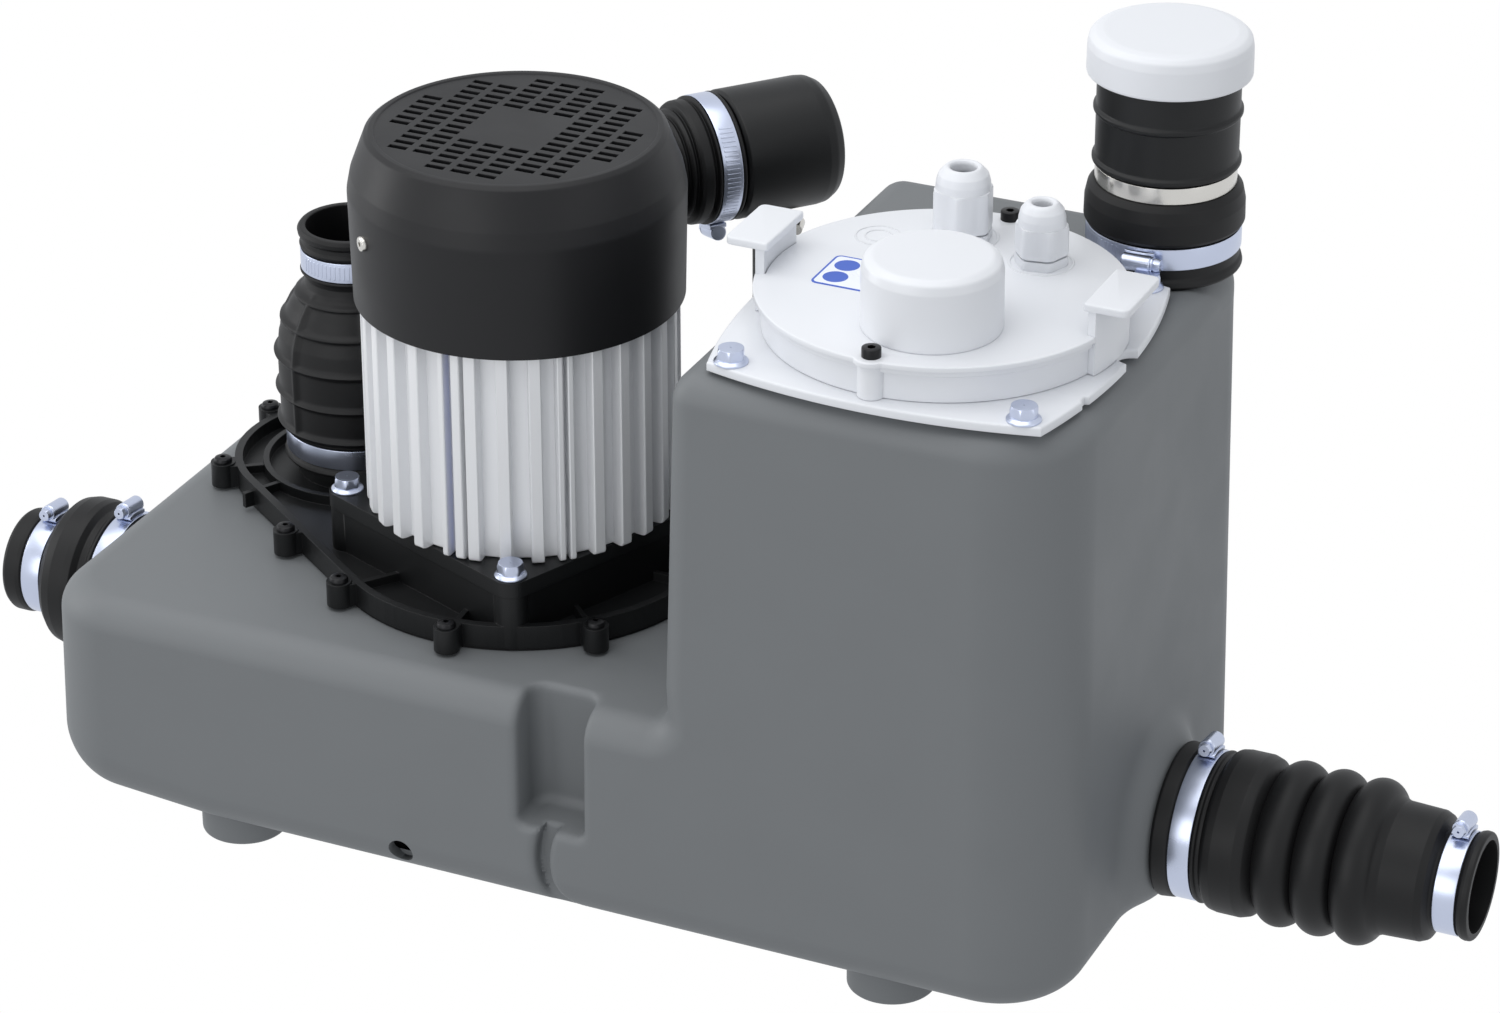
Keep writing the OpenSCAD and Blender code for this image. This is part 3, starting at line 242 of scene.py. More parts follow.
def hull_distance(p):
    """Leaning L-shaped hull: low deck, tall block, rounded corners and edges."""
    x, z = p[:, 0], p[:, 2]
    rise = z - FOOT_H - EDGE_LOW
    inset = SLOPE * rise
    side = np.abs(p[:, 1]) - (HALF_D - inset)
    left, right = -HALF_L + inset - x, x - (HALF_L - inset)
    plan = np.where(x < 0, round_pair(left, side, CORNER_LEFT),
                    round_pair(right, side, CORNER_RIGHT))
    plan = np.maximum(plan, np.maximum(left, right))
    # The lower edge grows rounder towards the left end
    low_edge = EDGE_LOW + 14 * np.clip((-200 - x) / 90, 0, 1)
    outer = np.maximum(round_pair(plan, z - TOP_Z, EDGE_TOP),
                       round_pair(plan, FOOT_H - z, low_edge))
    # Space over the deck: a fillet of 10 at its inner corner, then edges of 18 at the deck, 14 above
    above = -round_pair(DECK_Z - z, x - (TALL_X - 2 + STEP_LEAN * rise / RISE), 10.0)
    return round_pair(outer, above, 18.0 - 4.0 * np.clip((z - DECK_Z - 5) / 20, 0, 1))


def tank_distance(p):
    """Hull with stubs and swellings, pad and nipple, cuts in front, hollow, with open bores."""
    d = hull_distance(p)
    for side in (-1, 1):
        swell = cylinder_distance(p, (0.0, INLET_Z), 0, 45.0,
                                  *sorted((side * (HALF_L - 30), side * (HALF_L + 6))), 6.0)
        d = smooth_min(d, swell, 18.0)
        ends = sorted((side * (HALF_L - 20), side * (HALF_L + STUB_OUT)))
        stub = cylinder_distance(p, (0.0, INLET_Z), 0, STUB_R, ends[0], ends[1], 1.5)
        d = smooth_min(d, stub, 14.0)
    vent = cylinder_distance(p, VENT, 2, STUB_R, TOP_Z - 20, TOP_Z + 25, 1.5)
    d = smooth_min(d, vent, 5.0)
    pad = cylinder_distance(p, LEG, 2, LEG_R + 8, DECK_Z - 34, DECK_Z, 2.0)
    d = smooth_min(d, pad, 4.0)
    nipple = cylinder_distance(p, (NIPPLE_X, DRAIN_Z), 1, 8.0, 120.0, 161.0, 1.0)
    d = smooth_min(d, nipple, 5.0)
    d = smooth_max(d, -front_cuts(p), 5.0)
    d = np.maximum(d, -(d + WALL))
    return np.maximum(d, -openings(p))


def front_cuts(p):
    """Pocket and groove in the front face."""
    x0, x1 = POCKET["x"]
    face = -HALF_D + SLOPE * (p[:, 2] - FOOT_H - EDGE_LOW)
    inward = p[:, 1] - face
    across = np.maximum(x0 - p[:, 0], p[:, 0] - x1)
    depth = inward - POCKET["deep"] + 0.05 * (p[:, 2] - POCKET["low"])
    floor = POCKET["low"] - p[:, 2] + 0.12 * inward
    d = round_pair(round_pair(across, depth, 9.0), floor, 5.0)
    radial = np.abs(np.hypot(p[:, 0] - GROOVE["x"], p[:, 2] - GROOVE["z"]) - GROOVE["r"])
    groove = round_pair(radial - GROOVE["half"], inward - GROOVE["deep"], 1.5)
    groove = np.maximum(groove, np.maximum(np.abs(p[:, 2] - GROOVE["z"]) - GROOVE["reach"],
                                           p[:, 0] - GROOVE["end"]))
    groove = np.maximum(groove, -inward - 8)
    return smooth_min(d, groove, 2.0)


def openings(p):
    """Bores of the stubs and the holes under the vent, the lid and the pump cover."""
    inlets = np.hypot(p[:, 1], p[:, 2] - INLET_Z) - STUB_BORE
    d = np.maximum(inlets, HALF_L - 14 - np.abs(p[:, 0]))
    for centre, r, low in HOLES:
        hole = np.hypot(p[:, 0] - centre[0], p[:, 1] - centre[1]) - r
        d = np.minimum(d, np.maximum(hole, low - p[:, 2]))
    return d


def gradient(distance, p, eps=0.15):
    """Unit normals of a distance function."""
    out = np.empty_like(p)
    for axis in range(3):
        step = np.zeros(3)
        step[axis] = eps
        out[:, axis] = distance(p + step) - distance(p - step)
    return out / np.maximum(np.linalg.norm(out, axis=1, keepdims=True), 1e-9)


def surface_net(name, distance, low, high, step):
    """Quad mesh of the zero level of a distance function, settled onto it."""
    axes = [np.arange(low[i], high[i] + step, step) for i in range(3)]
    shape = tuple(len(a) for a in axes)
    value = np.empty(shape, np.float32)
    yy, zz = np.meshgrid(axes[1], axes[2], indexing="ij")
    flat = np.stack([np.zeros(yy.size), yy.ravel(), zz.ravel()], 1)
    for i, x in enumerate(axes[0]):
        flat[:, 0] = x
        value[i] = distance(flat).reshape(yy.shape)
    inside = value < 0
    total = np.zeros(tuple(s - 1 for s in shape) + (3,), np.float32)
    hits = np.zeros(tuple(s - 1 for s in shape), np.int32)
    corners = [(a, b, c) for a in (0, 1) for b in (0, 1) for c in (0, 1)]

    def cut(c):
        return tuple(slice(c[i], shape[i] - 1 + c[i]) for i in range(3))

    for c in corners:
        for axis in range(3):
            if c[axis]:
                continue
            e = tuple(c[i] + (i == axis) for i in range(3))
            va, vb = value[cut(c)], value[cut(e)]
            cross = (va < 0) != (vb < 0)
            t = np.where(cross, va / np.where(cross, va - vb, 1), 0)
            for i in range(3):
                total[..., i] += np.where(cross, c[i] + (t if i == axis else 0), 0)
            hits += cross
    active = hits > 0
    index = np.full(active.shape, -1, np.int64)
    index[active] = np.arange(active.sum())
    cells = np.argwhere(active)
    verts = (cells + total[active] / hits[active][:, None]) * step + np.array(low)
    quads = []
    for axis in range(3):
        u, v = (axis + 1) % 3, (axis + 2) % 3
        a = [slice(1, s - 1) for s in shape]
        b = list(a)
        a[axis] = slice(0, shape[axis] - 1)
        b[axis] = slice(1, shape[axis])
        fa, fb = inside[tuple(a)], inside[tuple(b)]
        place = np.argwhere(fa != fb)
        offset = np.array([1, 1, 1])
        offset[axis] = 0
        place = place + offset
        ids = []
        for du, dv in ((-1, -1), (0, -1), (0, 0), (-1, 0)):
            q = place.copy()
            q[:, u] += du
            q[:, v] += dv
            ids.append(index[q[:, 0], q[:, 1], q[:, 2]])
        quad = np.stack(ids, 1)
        flip = ~fa[fa != fb]
        quad[flip] = quad[flip][:, ::-1]
        quads.append(quad)
    quads = np.concatenate(quads)
    for _ in range(3):
        verts = verts - gradient(distance, verts) * np.clip(distance(verts), -1, 1)[:, None]
    mesh = bpy.data.meshes.new(name)
    mesh.from_pydata(verts * MM, [], quads.tolist())
    bm = bmesh.new()
    bm.from_mesh(mesh)
    bmesh.ops.dissolve_limit(bm, angle_limit=math.radians(0.35), verts=bm.verts, edges=bm.edges)
    bmesh.ops.triangulate(bm, faces=[f for f in bm.faces if len(f.verts) > 4])
    bm.to_mesh(mesh)
    bm.free()
    obj = bpy.data.objects.new(name, mesh)
    bpy.context.scene.collection.objects.link(obj)
    return obj


def cut_out(obj, cutter):
    """Takes the cutter's form out of a mesh."""
    mod = obj.modifiers.new("cut", "BOOLEAN")
    mod.object, mod.operation, mod.solver = cutter, "DIFFERENCE", "EXACT"
    bpy.context.view_layer.update()
    deps = bpy.context.evaluated_depsgraph_get()
    obj.data = bpy.data.meshes.new_from_object(obj.evaluated_get(deps), depsgraph=deps)
    obj.modifiers.clear()
    bpy.data.objects.remove(cutter)


def shade_by(obj, distance):
    """Normals of the distance function, and plain face normals where a cut is sharp."""
    mesh = obj.data
    points, loops = np.empty(len(mesh.vertices) * 3), np.empty(len(mesh.loops), np.int64)
    mesh.vertices.foreach_get("co", points)
    mesh.loops.foreach_get("vertex_index", loops)
    slope = gradient(distance, points.reshape(-1, 3) / MM)[loops]
    flat = np.repeat([tuple(f.normal) for f in mesh.polygons],
                     [f.loop_total for f in mesh.polygons], axis=0)
    near = np.sum(slope * flat, axis=1, keepdims=True) > 0.7
    mesh.polygons.foreach_set("use_smooth", [True] * len(mesh.polygons))
    mesh.normals_split_custom_set(np.where(near, slope, flat).tolist())


# Materials

def srgb(code):
    """Colour of a shader from a display value such as 7b7f82."""
    out = []
    for i in (0, 2, 4):
        c = int(code[i:i + 2], 16) / 255
        out.append(c / 12.92 if c <= 0.04045 else ((c + 0.055) / 1.055) ** 2.4)
    return (*out, 1.0)


def add(tree, kind, values=(), links=(), **settings):
    """Adds a node with its settings, its input values and its links."""
    n = tree.nodes.new(kind)
    for key, value in settings.items():
        setattr(n, key, value)
    for key, value in dict(values).items():
        n.inputs[key].default_value = value
    for key, source in dict(links).items():
        tree.links.new(source, n.inputs[key])
    return n


def surface(name, colour, rough, grain, grain_mm, metal=0.0, mottle=0.0, edge_mm=0.0,
            rough_vary=0.0, scatter=0.0, specular=0.5):
    """Moulded or finished surface: fine grain in the relief, slow change of colour and gloss."""
    mat = bpy.data.materials.new(name)
    mat.use_nodes = True
    tree = mat.node_tree
    tree.nodes.clear()
    out = add(tree, "ShaderNodeOutputMaterial")
    shader = add(tree, "ShaderNodeBsdfPrincipled",
                 {"Base Color": srgb(colour), "Roughness": rough, "Metallic": metal,
                  "Specular IOR Level": specular})
    if scatter:
        for key, value in (("Weight", scatter), ("Radius", (0.004, 0.004, 0.004)), ("Scale", 0.5)):
            shader.inputs["Subsurface " + key].default_value = value
    tree.links.new(shader.outputs[0], out.inputs[0])
    place = add(tree, "ShaderNodeTexCoord").outputs["Object"]
    fine = add(tree, "ShaderNodeTexNoise", {"Scale": 1000 / grain_mm, "Detail": 3.0,
                                            "Roughness": 0.6}, {"Vector": place})
    bump = add(tree, "ShaderNodeBump", {"Strength": 1.0, "Distance": grain * MM},
               {"Height": fine.outputs[0]})
    if edge_mm:
        bevel = add(tree, "ShaderNodeBevel", {"Radius": edge_mm * MM}, samples=4)
        tree.links.new(bevel.outputs[0], bump.inputs["Normal"])
    tree.links.new(bump.outputs[0], shader.inputs["Normal"])
    # Clouds some 45 mm wide
    slow = add(tree, "ShaderNodeTexNoise", {"Scale": 22.0, "Detail": 4.0}, {"Vector": place})
    middle = {"From Min": 0.3, "From Max": 0.7}
    if mottle:
        shift = add(tree, "ShaderNodeMapRange",
                    {**middle, "To Min": 1 - mottle, "To Max": 1 + mottle},
                    {"Value": slow.outputs[0]})
        tone = add(tree, "ShaderNodeHueSaturation", {"Color": srgb(colour)},
                   {"Value": shift.outputs[0]})
        tree.links.new(tone.outputs[0], shader.inputs["Base Color"])
    if rough_vary:
        gloss = add(tree, "ShaderNodeMapRange",
                    {**middle, "To Min": rough - rough_vary, "To Max": rough + rough_vary},
                    {"Value": slow.outputs[0]})
        tree.links.new(gloss.outputs[0], shader.inputs["Roughness"])
    return mat


# Grain depth and width are in millimetres. On large pieces the grain is drawn coarser than the
# real one, so that it shows in the render.
M = dict(
    # Rotomoulded polyethylene: matt, pebbled skin with a faint cloudiness from the mould
    tank=surface("tank_polyethylene", "717476", 0.55, 0.05, 1.6, mottle=0.02,
                 rough_vary=0.05, specular=0.4),
    # Glass-filled polypropylene, injection moulded: low sheen and slightly patchy gloss
    black=surface("moulded_black_plastic", "101112", 0.42, 0.02, 0.7, edge_mm=0.6,
                  mottle=0.04, rough_vary=0.05, specular=0.32),
    # Moulded plastic with a textured skin: a soft, wide highlight
    cover=surface("fan_cover_plastic", "131315", 0.46, 0.03, 0.9, edge_mm=0.8,
                  rough_vary=0.04, specular=0.32),
    # Moulded rubber: deep black, dull, a little blotchy
    rubber=surface("moulded_rubber", "0d0d0e", 0.5, 0.02, 1.1, mottle=0.04,
                   rough_vary=0.05, specular=0.3),
    # Injection moulded ABS: satin, and a little light passes under its skin
    white=surface("white_abs", "e2e4e8", 0.36, 0.01, 0.8, edge_mm=0.5, scatter=0.05,
                  rough_vary=0.04),
    # Silver-painted die-cast aluminium: pale, with a weak metallic sheen
    cast=surface("painted_cast_aluminium", "e9eaec", 0.42, 0.02, 0.6, metal=0.15,
                 edge_mm=0.4, rough_vary=0.06),
    # Zinc-plated steel with a blue passivation: bright and bluish
    zinc=surface("blue_zinc_plate", "c6cde0", 0.3, 0.003, 0.5, metal=1.0,
                 edge_mm=0.3, mottle=0.02, rough_vary=0.04),
    # Rolled stainless strip: bright, neutral, clear reflections
    steel=surface("stainless_strip", "d6d3cd", 0.22, 0.005, 0.4, metal=1.0,
                  edge_mm=0.3, rough_vary=0.05),
    # Blackened steel: dark with a dull shine
    dark_screw=surface("blackened_steel", "1a1a1c", 0.34, 0.005, 0.5, metal=0.6,
                       edge_mm=0.2, rough_vary=0.05),
    # Enamelled copper wire: warm and uneven
    copper=surface("winding_copper", "9a5a2c", 0.4, 0.02, 0.6, metal=0.9, mottle=0.1),
    # Extruded grey plastic tube: smooth, half gloss
    grey=surface("grey_tube_plastic", "8d8f92", 0.45, 0.01, 0.8, rough_vary=0.04),
    # Circuit board with solder mask: green, glossy, uneven
    board=surface("circuit_board", "2c6a44", 0.35, 0.01, 0.6, mottle=0.1),
    # Ink under a clear film, and the white film itself: smooth and glossy
    label_blue=surface("label_ink_blue", "2a58c0", 0.3, 0.003, 0.5, rough_vary=0.03),
    label=surface("label_film", "eef2fb", 0.28, 0.003, 0.5, rough_vary=0.03),
)


def dress(obj, key, node=None, body="base"):
    """Gives a piece its material and body, and hides the node that it stands for."""
    obj.data.materials.clear()
    obj.data.materials.append(M[key])
    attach(obj, body)
    if node:
        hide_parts(node)
    return obj


def piece(name, data, key, sharp, node=None, body="base"):
    """Points and faces as a piece; edges over the sharp angle, in degrees, stay hard."""
    return dress(mesh_object(name, *data, sharp), key, node, body)


def turned_piece(name, profile, place, key, node, body="base"):
    """Piece from a closed profile turned about an axis."""
    return piece(name, lathe_data(profile, 144, place, closed=True), key, 50, node, body)


def paint_nodes():
    """Gives every solid that stays in view its material."""
    groups = dict(
        black=["pump_cover", "volute_casing", "impeller", "cooling_fan", "motor_flange"],
        rubber=["pump_cover_seal", "shaft_seal", "discharge_flap", "lid_seal", "valve_flap"],
        zinc=["volute_screws"], board=["control_board"], grey=["pressure_tubes"],
        steel=["impeller_nut", "motor_shaft", "lower_bearing", "upper_bearing", "rotor"],
        copper=["stator"], cast=["upper_shield"])
    for key, names in groups.items():
        for n in names:
            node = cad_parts[n]
            node.data.materials.clear()
            node.data.materials.append(M[key])


# Rubber boots, as turned profiles

def big_mouth(z, length, bore, seat=5.0):
    """Outer line of a large boot end, from its lip: bead, band seat and second bead."""
    top = z + seat + 12.4
    return [(bore, z), (BOOT_R + 1.4, z), (BOOT_R + 2.2, z + 1.6), (BOOT_R + 1.4, z + seat - 1.2),
            (BOOT_R, z + seat), (BOOT_R, top), (BOOT_R + 1.5, top + 0.8), (BOOT_R + 1.5, top + 2.2),
            (BOOT_R, top + 3.2), (BOOT_R, z + length)]


def bellows_line(start, pitch, count, crest, arc):
    """Round crests with narrow valleys between them."""
    line = []
    for k in range(count):
        for u in np.linspace(-pitch / 2, pitch / 2, 22)[(k > 0):]:
            line.append((crest - arc + math.sqrt(arc * arc - u * u),
                         start + (k + 0.5) * pitch + u))
    return line


def build_boots():
    """Bellows on the right, short coupling on the left, and the discharge boot."""
    r = 1.4
    outer = (soft(big_mouth(10.9, 27, MOUTH_BORE, 9.7), r)
             + soft([(40, 37), (43.4, 40.5), (44.2, 45), (44.2, 57), (42.6, 62),
                     (37.7, 65.6)], 3.0)[1:-1]
             + bellows_line(66.0, 21.5, 3, 44.8, 11.5)
             + soft([(37.6, 131.0), (36.0, 134), (35.2, 154), (33.5, 157.8), (28.6, 160),
                     (27.2, 161.6), (27.2, 174.4), (28.8, 175.6), (29.4, 177.6), (29.2, 180),
                     (28.4, 181), (25, 181)], 1.2)[1:])
    inner = soft([(25, 181), (25, 152), (32, 122), (MOUTH_BORE, 100), (MOUTH_BORE, 10.9)], 1.0)
    turned_piece("right_inlet_bellows", outer + inner[1:-1], inlet(1), "rubber", "right_inlet_boot")
    outer = soft(big_mouth(17.0, 25, MOUTH_BORE) + [
        (43.3, 45), (44.2, 49), (44.2, 57), (42.8, 62.4), (38.6, 66.6), (33, 69.4), (30.4, 69.8),
        (30.2, 71.4), (28.4, 72.4), (28.4, 84.8), (29.6, 85.8), (30.2, 88), (30.2, 95),
        (28.8, 97.2), (25, 97.2)], r)
    inner = soft([(25, 97.2), (25, 69), (MOUTH_BORE, 44), (MOUTH_BORE, 17.0)], 1.0)
    turned_piece("left_inlet_coupling", outer + inner[1:-1], inlet(-1), "rubber", "left_inlet_boot")
    build_discharge_boot()


def build_discharge_boot():
    """Boot with rings and upright ribs on its body; mouth and neck are plain."""
    low, high, ring_high, rib_high, rib_half = 181.0, 266.2, 2.2, 2.0, 1.9
    line = [(43.2, 180), (43.6, 203), (43.8, 225), (42.6, 236), (39.6, 246), (35.5, 254),
            (30.6, 261), (27.0, 266)]
    heights = [p[1] for p in line]
    body = []
    for z in np.arange(low, 266.1, 0.75):
        ring = max(math.exp(-((z - c) / 1.5) ** 2) for c in (184, 203.5, 225, 246, 261))
        body.append((float(np.interp(z, heights, [p[0] for p in line])), ring_high * ring, z))
    mouth = soft(big_mouth(160.8, 19, MOUTH_BORE), 1.4)
    neck = soft([(27.0, 266.4), (26.3, 270), (27.6, 273.2), (29, 274.2), (29, 275.4), (27.6, 276),
                 (27.6, 288.4), (28.6, 289.4), (29, 290.6), (27.8, 292), (27.6, 294.8),
                 (29.4, 296.4), (29.8, 299), (28.4, 301), (25, 301), (25, 273), (22.4, 268),
                 (22.4, 262), (38, 240), (38, 182), (MOUTH_BORE, low), (MOUTH_BORE, 160.8)], 1.1)
    profile = [(r, 0.0, z) for r, z in mouth] + body + [(r, 0.0, z) for r, z in neck[:-1]]
    segments, place, verts = 240, at(*DISCHARGE), []
    for r, ring, z in profile:
        fade = min(1.0, max(0.0, (z - low) / 4)) * min(1.0, max(0.0, (266 - z) / 6))
        ribbed = low <= z < high and r > 26.5 and r != 38
        for a in around(segments):
            turn = (math.degrees(a) - 8.3 + 30) % 60 - 30
            upright = rib_high * math.exp(-((turn * r / 57.3) / rib_half) ** 2) * fade
            out = r + (max(ring, upright) if ribbed else 0)
            verts.append(place @ Vector((out * math.cos(a), out * math.sin(a), z)))
    piece("discharge_ribbed_boot", (verts, skin(len(profile), segments, closed=True)), "rubber", 50,
          "discharge_boot")


def build_vent():
    """Boot, sleeve with its beads, push-on cap and plain band."""
    place = at(*VENT)
    boot = soft([(MOUTH_BORE, 349.4), (41.2, 349.4), (41.9, 351), (41.2, 353.6), (40, 355), (40, 373),
                 (41.6, 374), (42.4, 375.6), (42.2, 386), (40.8, 392.6), (38, 396), (36.3, 396),
                 (36.3, 376), (MOUTH_BORE, 375)], 1.5, closed=True)
    turned_piece("vent_rubber_boot", boot, place, "rubber", "vent_boot")
    sleeve = soft([(36, 376), (36, 405.6), (37.4, 406.2), (39.1, 407), (39.1, 409), (37.6, 410.4),
                   (37.6, 434), (39.1, 435.2), (39.1, 437), (37.6, 438.4), (37.6, 470),
                   (31.5, 470), (31.5, 376)], 1.0, closed=True)
    turned_piece("vent_pipe_sleeve", sleeve, place, "black", "vent_sleeve")
    cap = soft([(37.8, 456), (42.9, 456), (43.3, 457), (43.1, 471), (42.3, 475.5), (39.6, 478),
                (35, 479), (0.01, 479)], [0, 0.6, 0.8, 4, 3, 4, 5, 0]) + [(0.01, 471), (37.8, 471)]
    turned_piece("vent_push_on_cap", cap, place, "white", "vent_cap", "vent_cap")
    band = soft([(36.1, 396.2), (37.3, 396.2), (37.3, 405.2), (36.1, 405.2)], 0.3, 3, closed=True)
    turned_piece("vent_plain_band", band, place, "steel", "vent_band")


# Motor

def build_fan_cover():
    """Shell with a rounded shoulder, and the grille in its top."""
    outer = soft([(COVER_R - 1.3, 308), (COVER_R, 370), (COVER_R - 2.0, 380),
                  (COVER_R - 9.8, 400.6), (COVER_R - 12.4, COVER_TOP), (COVER_R - 15.2, COVER_TOP),
                  (COVER_R - 16.4, COVER_TOP - 1.2)], [0, 14, 8, 2.5, 1.0, 0.6, 0], 6)
    inner = [(COVER_R - 17, COVER_TOP - 1.2), (COVER_R - 17, COVER_TOP - 3.4),
             (COVER_R - 13, COVER_TOP - 3.6), (COVER_R - 5, 379), (COVER_R - 3, 370),
             (COVER_R - 4.2, 308)]
    piece("fan_cover_shell", lathe_data(outer + inner, 192, at(*MOTOR), closed=True), "cover", 40,
          "fan_cover")
    piece("fan_cover_grille", grille_data(), "cover", 30)


def grille_data():
    """Flat disc with a square grid of paired slots and a blank square in the middle."""
    cell, slot_l, slot_w, gap = 15.0, 11.0, 4.0, 3.6
    top, low, disc = COVER_TOP - 0.6, COVER_TOP - 3.0, COVER_R - 15.2
    xs = sorted({i * cell + d for i in range(-5, 6) for d in (-slot_l / 2, slot_l / 2)}
                | {-disc, disc})
    ys = sorted({j * cell + k * gap + e for j in range(-5, 6) for k in (-1, 1)
                 for e in (-slot_w / 2, slot_w / 2)} | {-disc, disc})

    def open_at(x, y):
        i, j = round(x / cell), round(y / cell)
        if math.hypot(i, j) * cell >= COVER_R - 24 or (abs(i) <= 1 and abs(j) <= 1):
            return False
        dx, dy = abs(x - i * cell), abs(abs(y - j * cell) - gap)
        return dx < slot_l / 2 and dy < slot_w / 2

    verts, faces, seen = [], [], {}

    def vertex(x, y, z):
        r = math.hypot(x, y)
        if r > disc:
            x, y = x * disc / r, y * disc / r
        key = (round(x, 4), round(y, 4), z)
        if key not in seen:
            seen[key] = len(verts)
            verts.append((x + MOTOR[0], y + MOTOR[1], z))
        return seen[key]

    def solid(i, j):
        if not (0 <= i < len(xs) - 1 and 0 <= j < len(ys) - 1):
            return False
        cx, cy = (xs[i] + xs[i + 1]) / 2, (ys[j] + ys[j + 1]) / 2
        near = math.hypot(min(abs(xs[i]), abs(xs[i + 1])), min(abs(ys[j]), abs(ys[j + 1])))
        return near < disc - 0.5 and not open_at(cx, cy)

    for i in range(len(xs) - 1):
        for j in range(len(ys) - 1):
            if not solid(i, j):
                continue
            x0, x1, y0, y1 = xs[i], xs[i + 1], ys[j], ys[j + 1]
            ring = [(x0, y0), (x1, y0), (x1, y1), (x0, y1)]
            faces.append([vertex(x, y, top) for x, y in ring])
            faces.append([vertex(x, y, low) for x, y in ring][::-1])
            for k, (di, dj) in enumerate(((0, -1), (1, 0), (0, 1), (-1, 0))):
                if not solid(i + di, j + dj):
                    a, b = ring[k], ring[(k + 1) % 4]
                    faces.append([vertex(*a, low), vertex(*b, low), vertex(*b, top),
                                  vertex(*a, top)])
    clean = []
    for f in faces:
        g = [v for n, v in enumerate(f) if v != f[n - 1]]
        if len(set(g)) >= 3:
            clean.append(tuple(dict.fromkeys(g)))
    return verts, clean


FINS, FIN_TURN, FIN_HALF = 31, 209.0, 3.35
FIN_PAIRS = {5: ((267.4, 1.6), (273.2, 2.5)), 9: ((310.9, 1.6), (314.8, 1.6))}


def fin_data(turn, half):
    """Flat bar with a rounded outer lower corner."""
    outline = soft([(77, FIN_LOW), (FIN_R, FIN_LOW), (FIN_R, FIN_TOP), (77, FIN_TOP)],
                   [0, 2.6, 0, 0], 3)
    place = at(*MOTOR, turn=turn)
    verts, count = [], len(outline)
    for side, lift in ((-half, 0.5), (-half + 0.5, 0), (half - 0.5, 0), (half, 0.5)):
        for r, z in outline:
            verts.append(place @ Vector((r - (lift if r > 80 else 0), side, z)))
    ends = [tuple(range(count)), tuple(range(4 * count - 1, 3 * count - 1, -1))]
    return verts, ends + skin(4, count)


def build_motor_body():
    """Core with wide cooling fins; two of them each give way to a pair of narrow ones."""
    core = soft([(68.6, FIN_LOW), (78.4, FIN_LOW), (79, 186), (79, 311), (68.6, 311)], 0.6,
                closed=True)
    parts = [lathe_data(core, 160, at(*MOTOR), closed=True)]
    for k in range(FINS):
        for turn, half in FIN_PAIRS.get(k, ((FIN_TURN + k * 360 / FINS, FIN_HALF),)):
            parts.append(fin_data(turn, half))
    piece("motor_finned_body", join_data(*parts), "cast", 30, "motor_housing")


# Lid, control unit

def plate_outline():
    """Bowed square, cut to a circle, hollowed round the vent and notched on its right side."""
    half, bow, corner_r, vent_r = 102.0, 350.0, 129.0, 43.4
    pts = []
    for a in around(720):
        c, s = math.cos(a), math.sin(a)
        r = corner_r
        for dx, dy in ((1, 0), (-1, 0), (0, 1), (0, -1)):
            ox, oy = (bow - half) * dx, (bow - half) * dy
            b = c * ox + s * oy
            r = min(r, b + math.sqrt(b * b - (ox * ox + oy * oy) + bow * bow))
        x, y = r * c, r * s
        vx, vy = x - (VENT[0] - LID[0]), y - (VENT[1] - LID[1])
        d = math.hypot(vx, vy)
        if d < vent_r:
            x, y = x + vx / d * (vent_r - d), y + vy / d * (vent_r - d)
        if math.hypot(x - half, y - 4) < 8:
            x = half - math.sqrt(max(64 - (y - 4) ** 2, 0))
        if x > half - 6 and -54 < y < -48:
            x = half - 5.5
        pts.append((x + LID[0], y + LID[1]))
    return pts


def build_lid():
    """Base plate with its spigot, then the control unit that stands on it."""
    centre = at(*LID)
    slab = slab_data(plate_outline(), 351.0, PLATE_TOP, 1.2, 0.6)
    plate = mesh_object("lid_base_plate", *slab, 40)
    hole = [(0.01, 340), (LID_BORE_R, 340), (LID_BORE_R, 370), (0.01, 370)]
    cut_out(plate, mesh_object("lid_hole_cutter", *lathe_data(hole, 160, centre)))
    plate.data.set_sharp_from_angle(angle=math.radians(40))
    dress(plate, "white", "lid_plate")
    spigot = [(LID_BORE_R, 339), (82.8, 339), (82.8, 351), (LID_BORE_R, 351)]
    piece("lid_spigot_ring", lathe_data(spigot, 160, centre, closed=True), "white", 35, "lid_plate")
    low, high = 356.3, 374.4
    wall = soft([(85.6, low), (92.4, low), (92.2, 370.6), (94.6, 371.4), (94.8, high), (85.6, high)],
                0.6, closed=True)
    parts = [lathe_data(wall, 192, centre, closed=True)]
    for sy in (-1, 1):
        boss = ring_points(7.0, 40, LID[0], LID[1] + sy * LID_SCREW_R)
        parts.append(slab_data(boss, low, high, 0.2))
    for side in (-1, 1):
        parts += [handle_data(side), grip_data(side)]
    piece("control_unit_body", join_data(*parts), "white", 35, "control_housing", "control_unit")
    build_disc()
    dome = soft([(32, 377.6), (35.7, 377.6), (36, 378.4), (35.9, 409), (34.6, 413.6),
                 (30.6, 415.9), (0.01, 416.5)], [0, 0.3, 0.5, 4, 3, 6, 0], 6)
    turned_piece("alarm_dome_shell", dome + [(0.01, 411), (32, 411)],
                 at(LID[0] + 13, LID[1] - 45), "white", "alarm_dome", "control_unit")


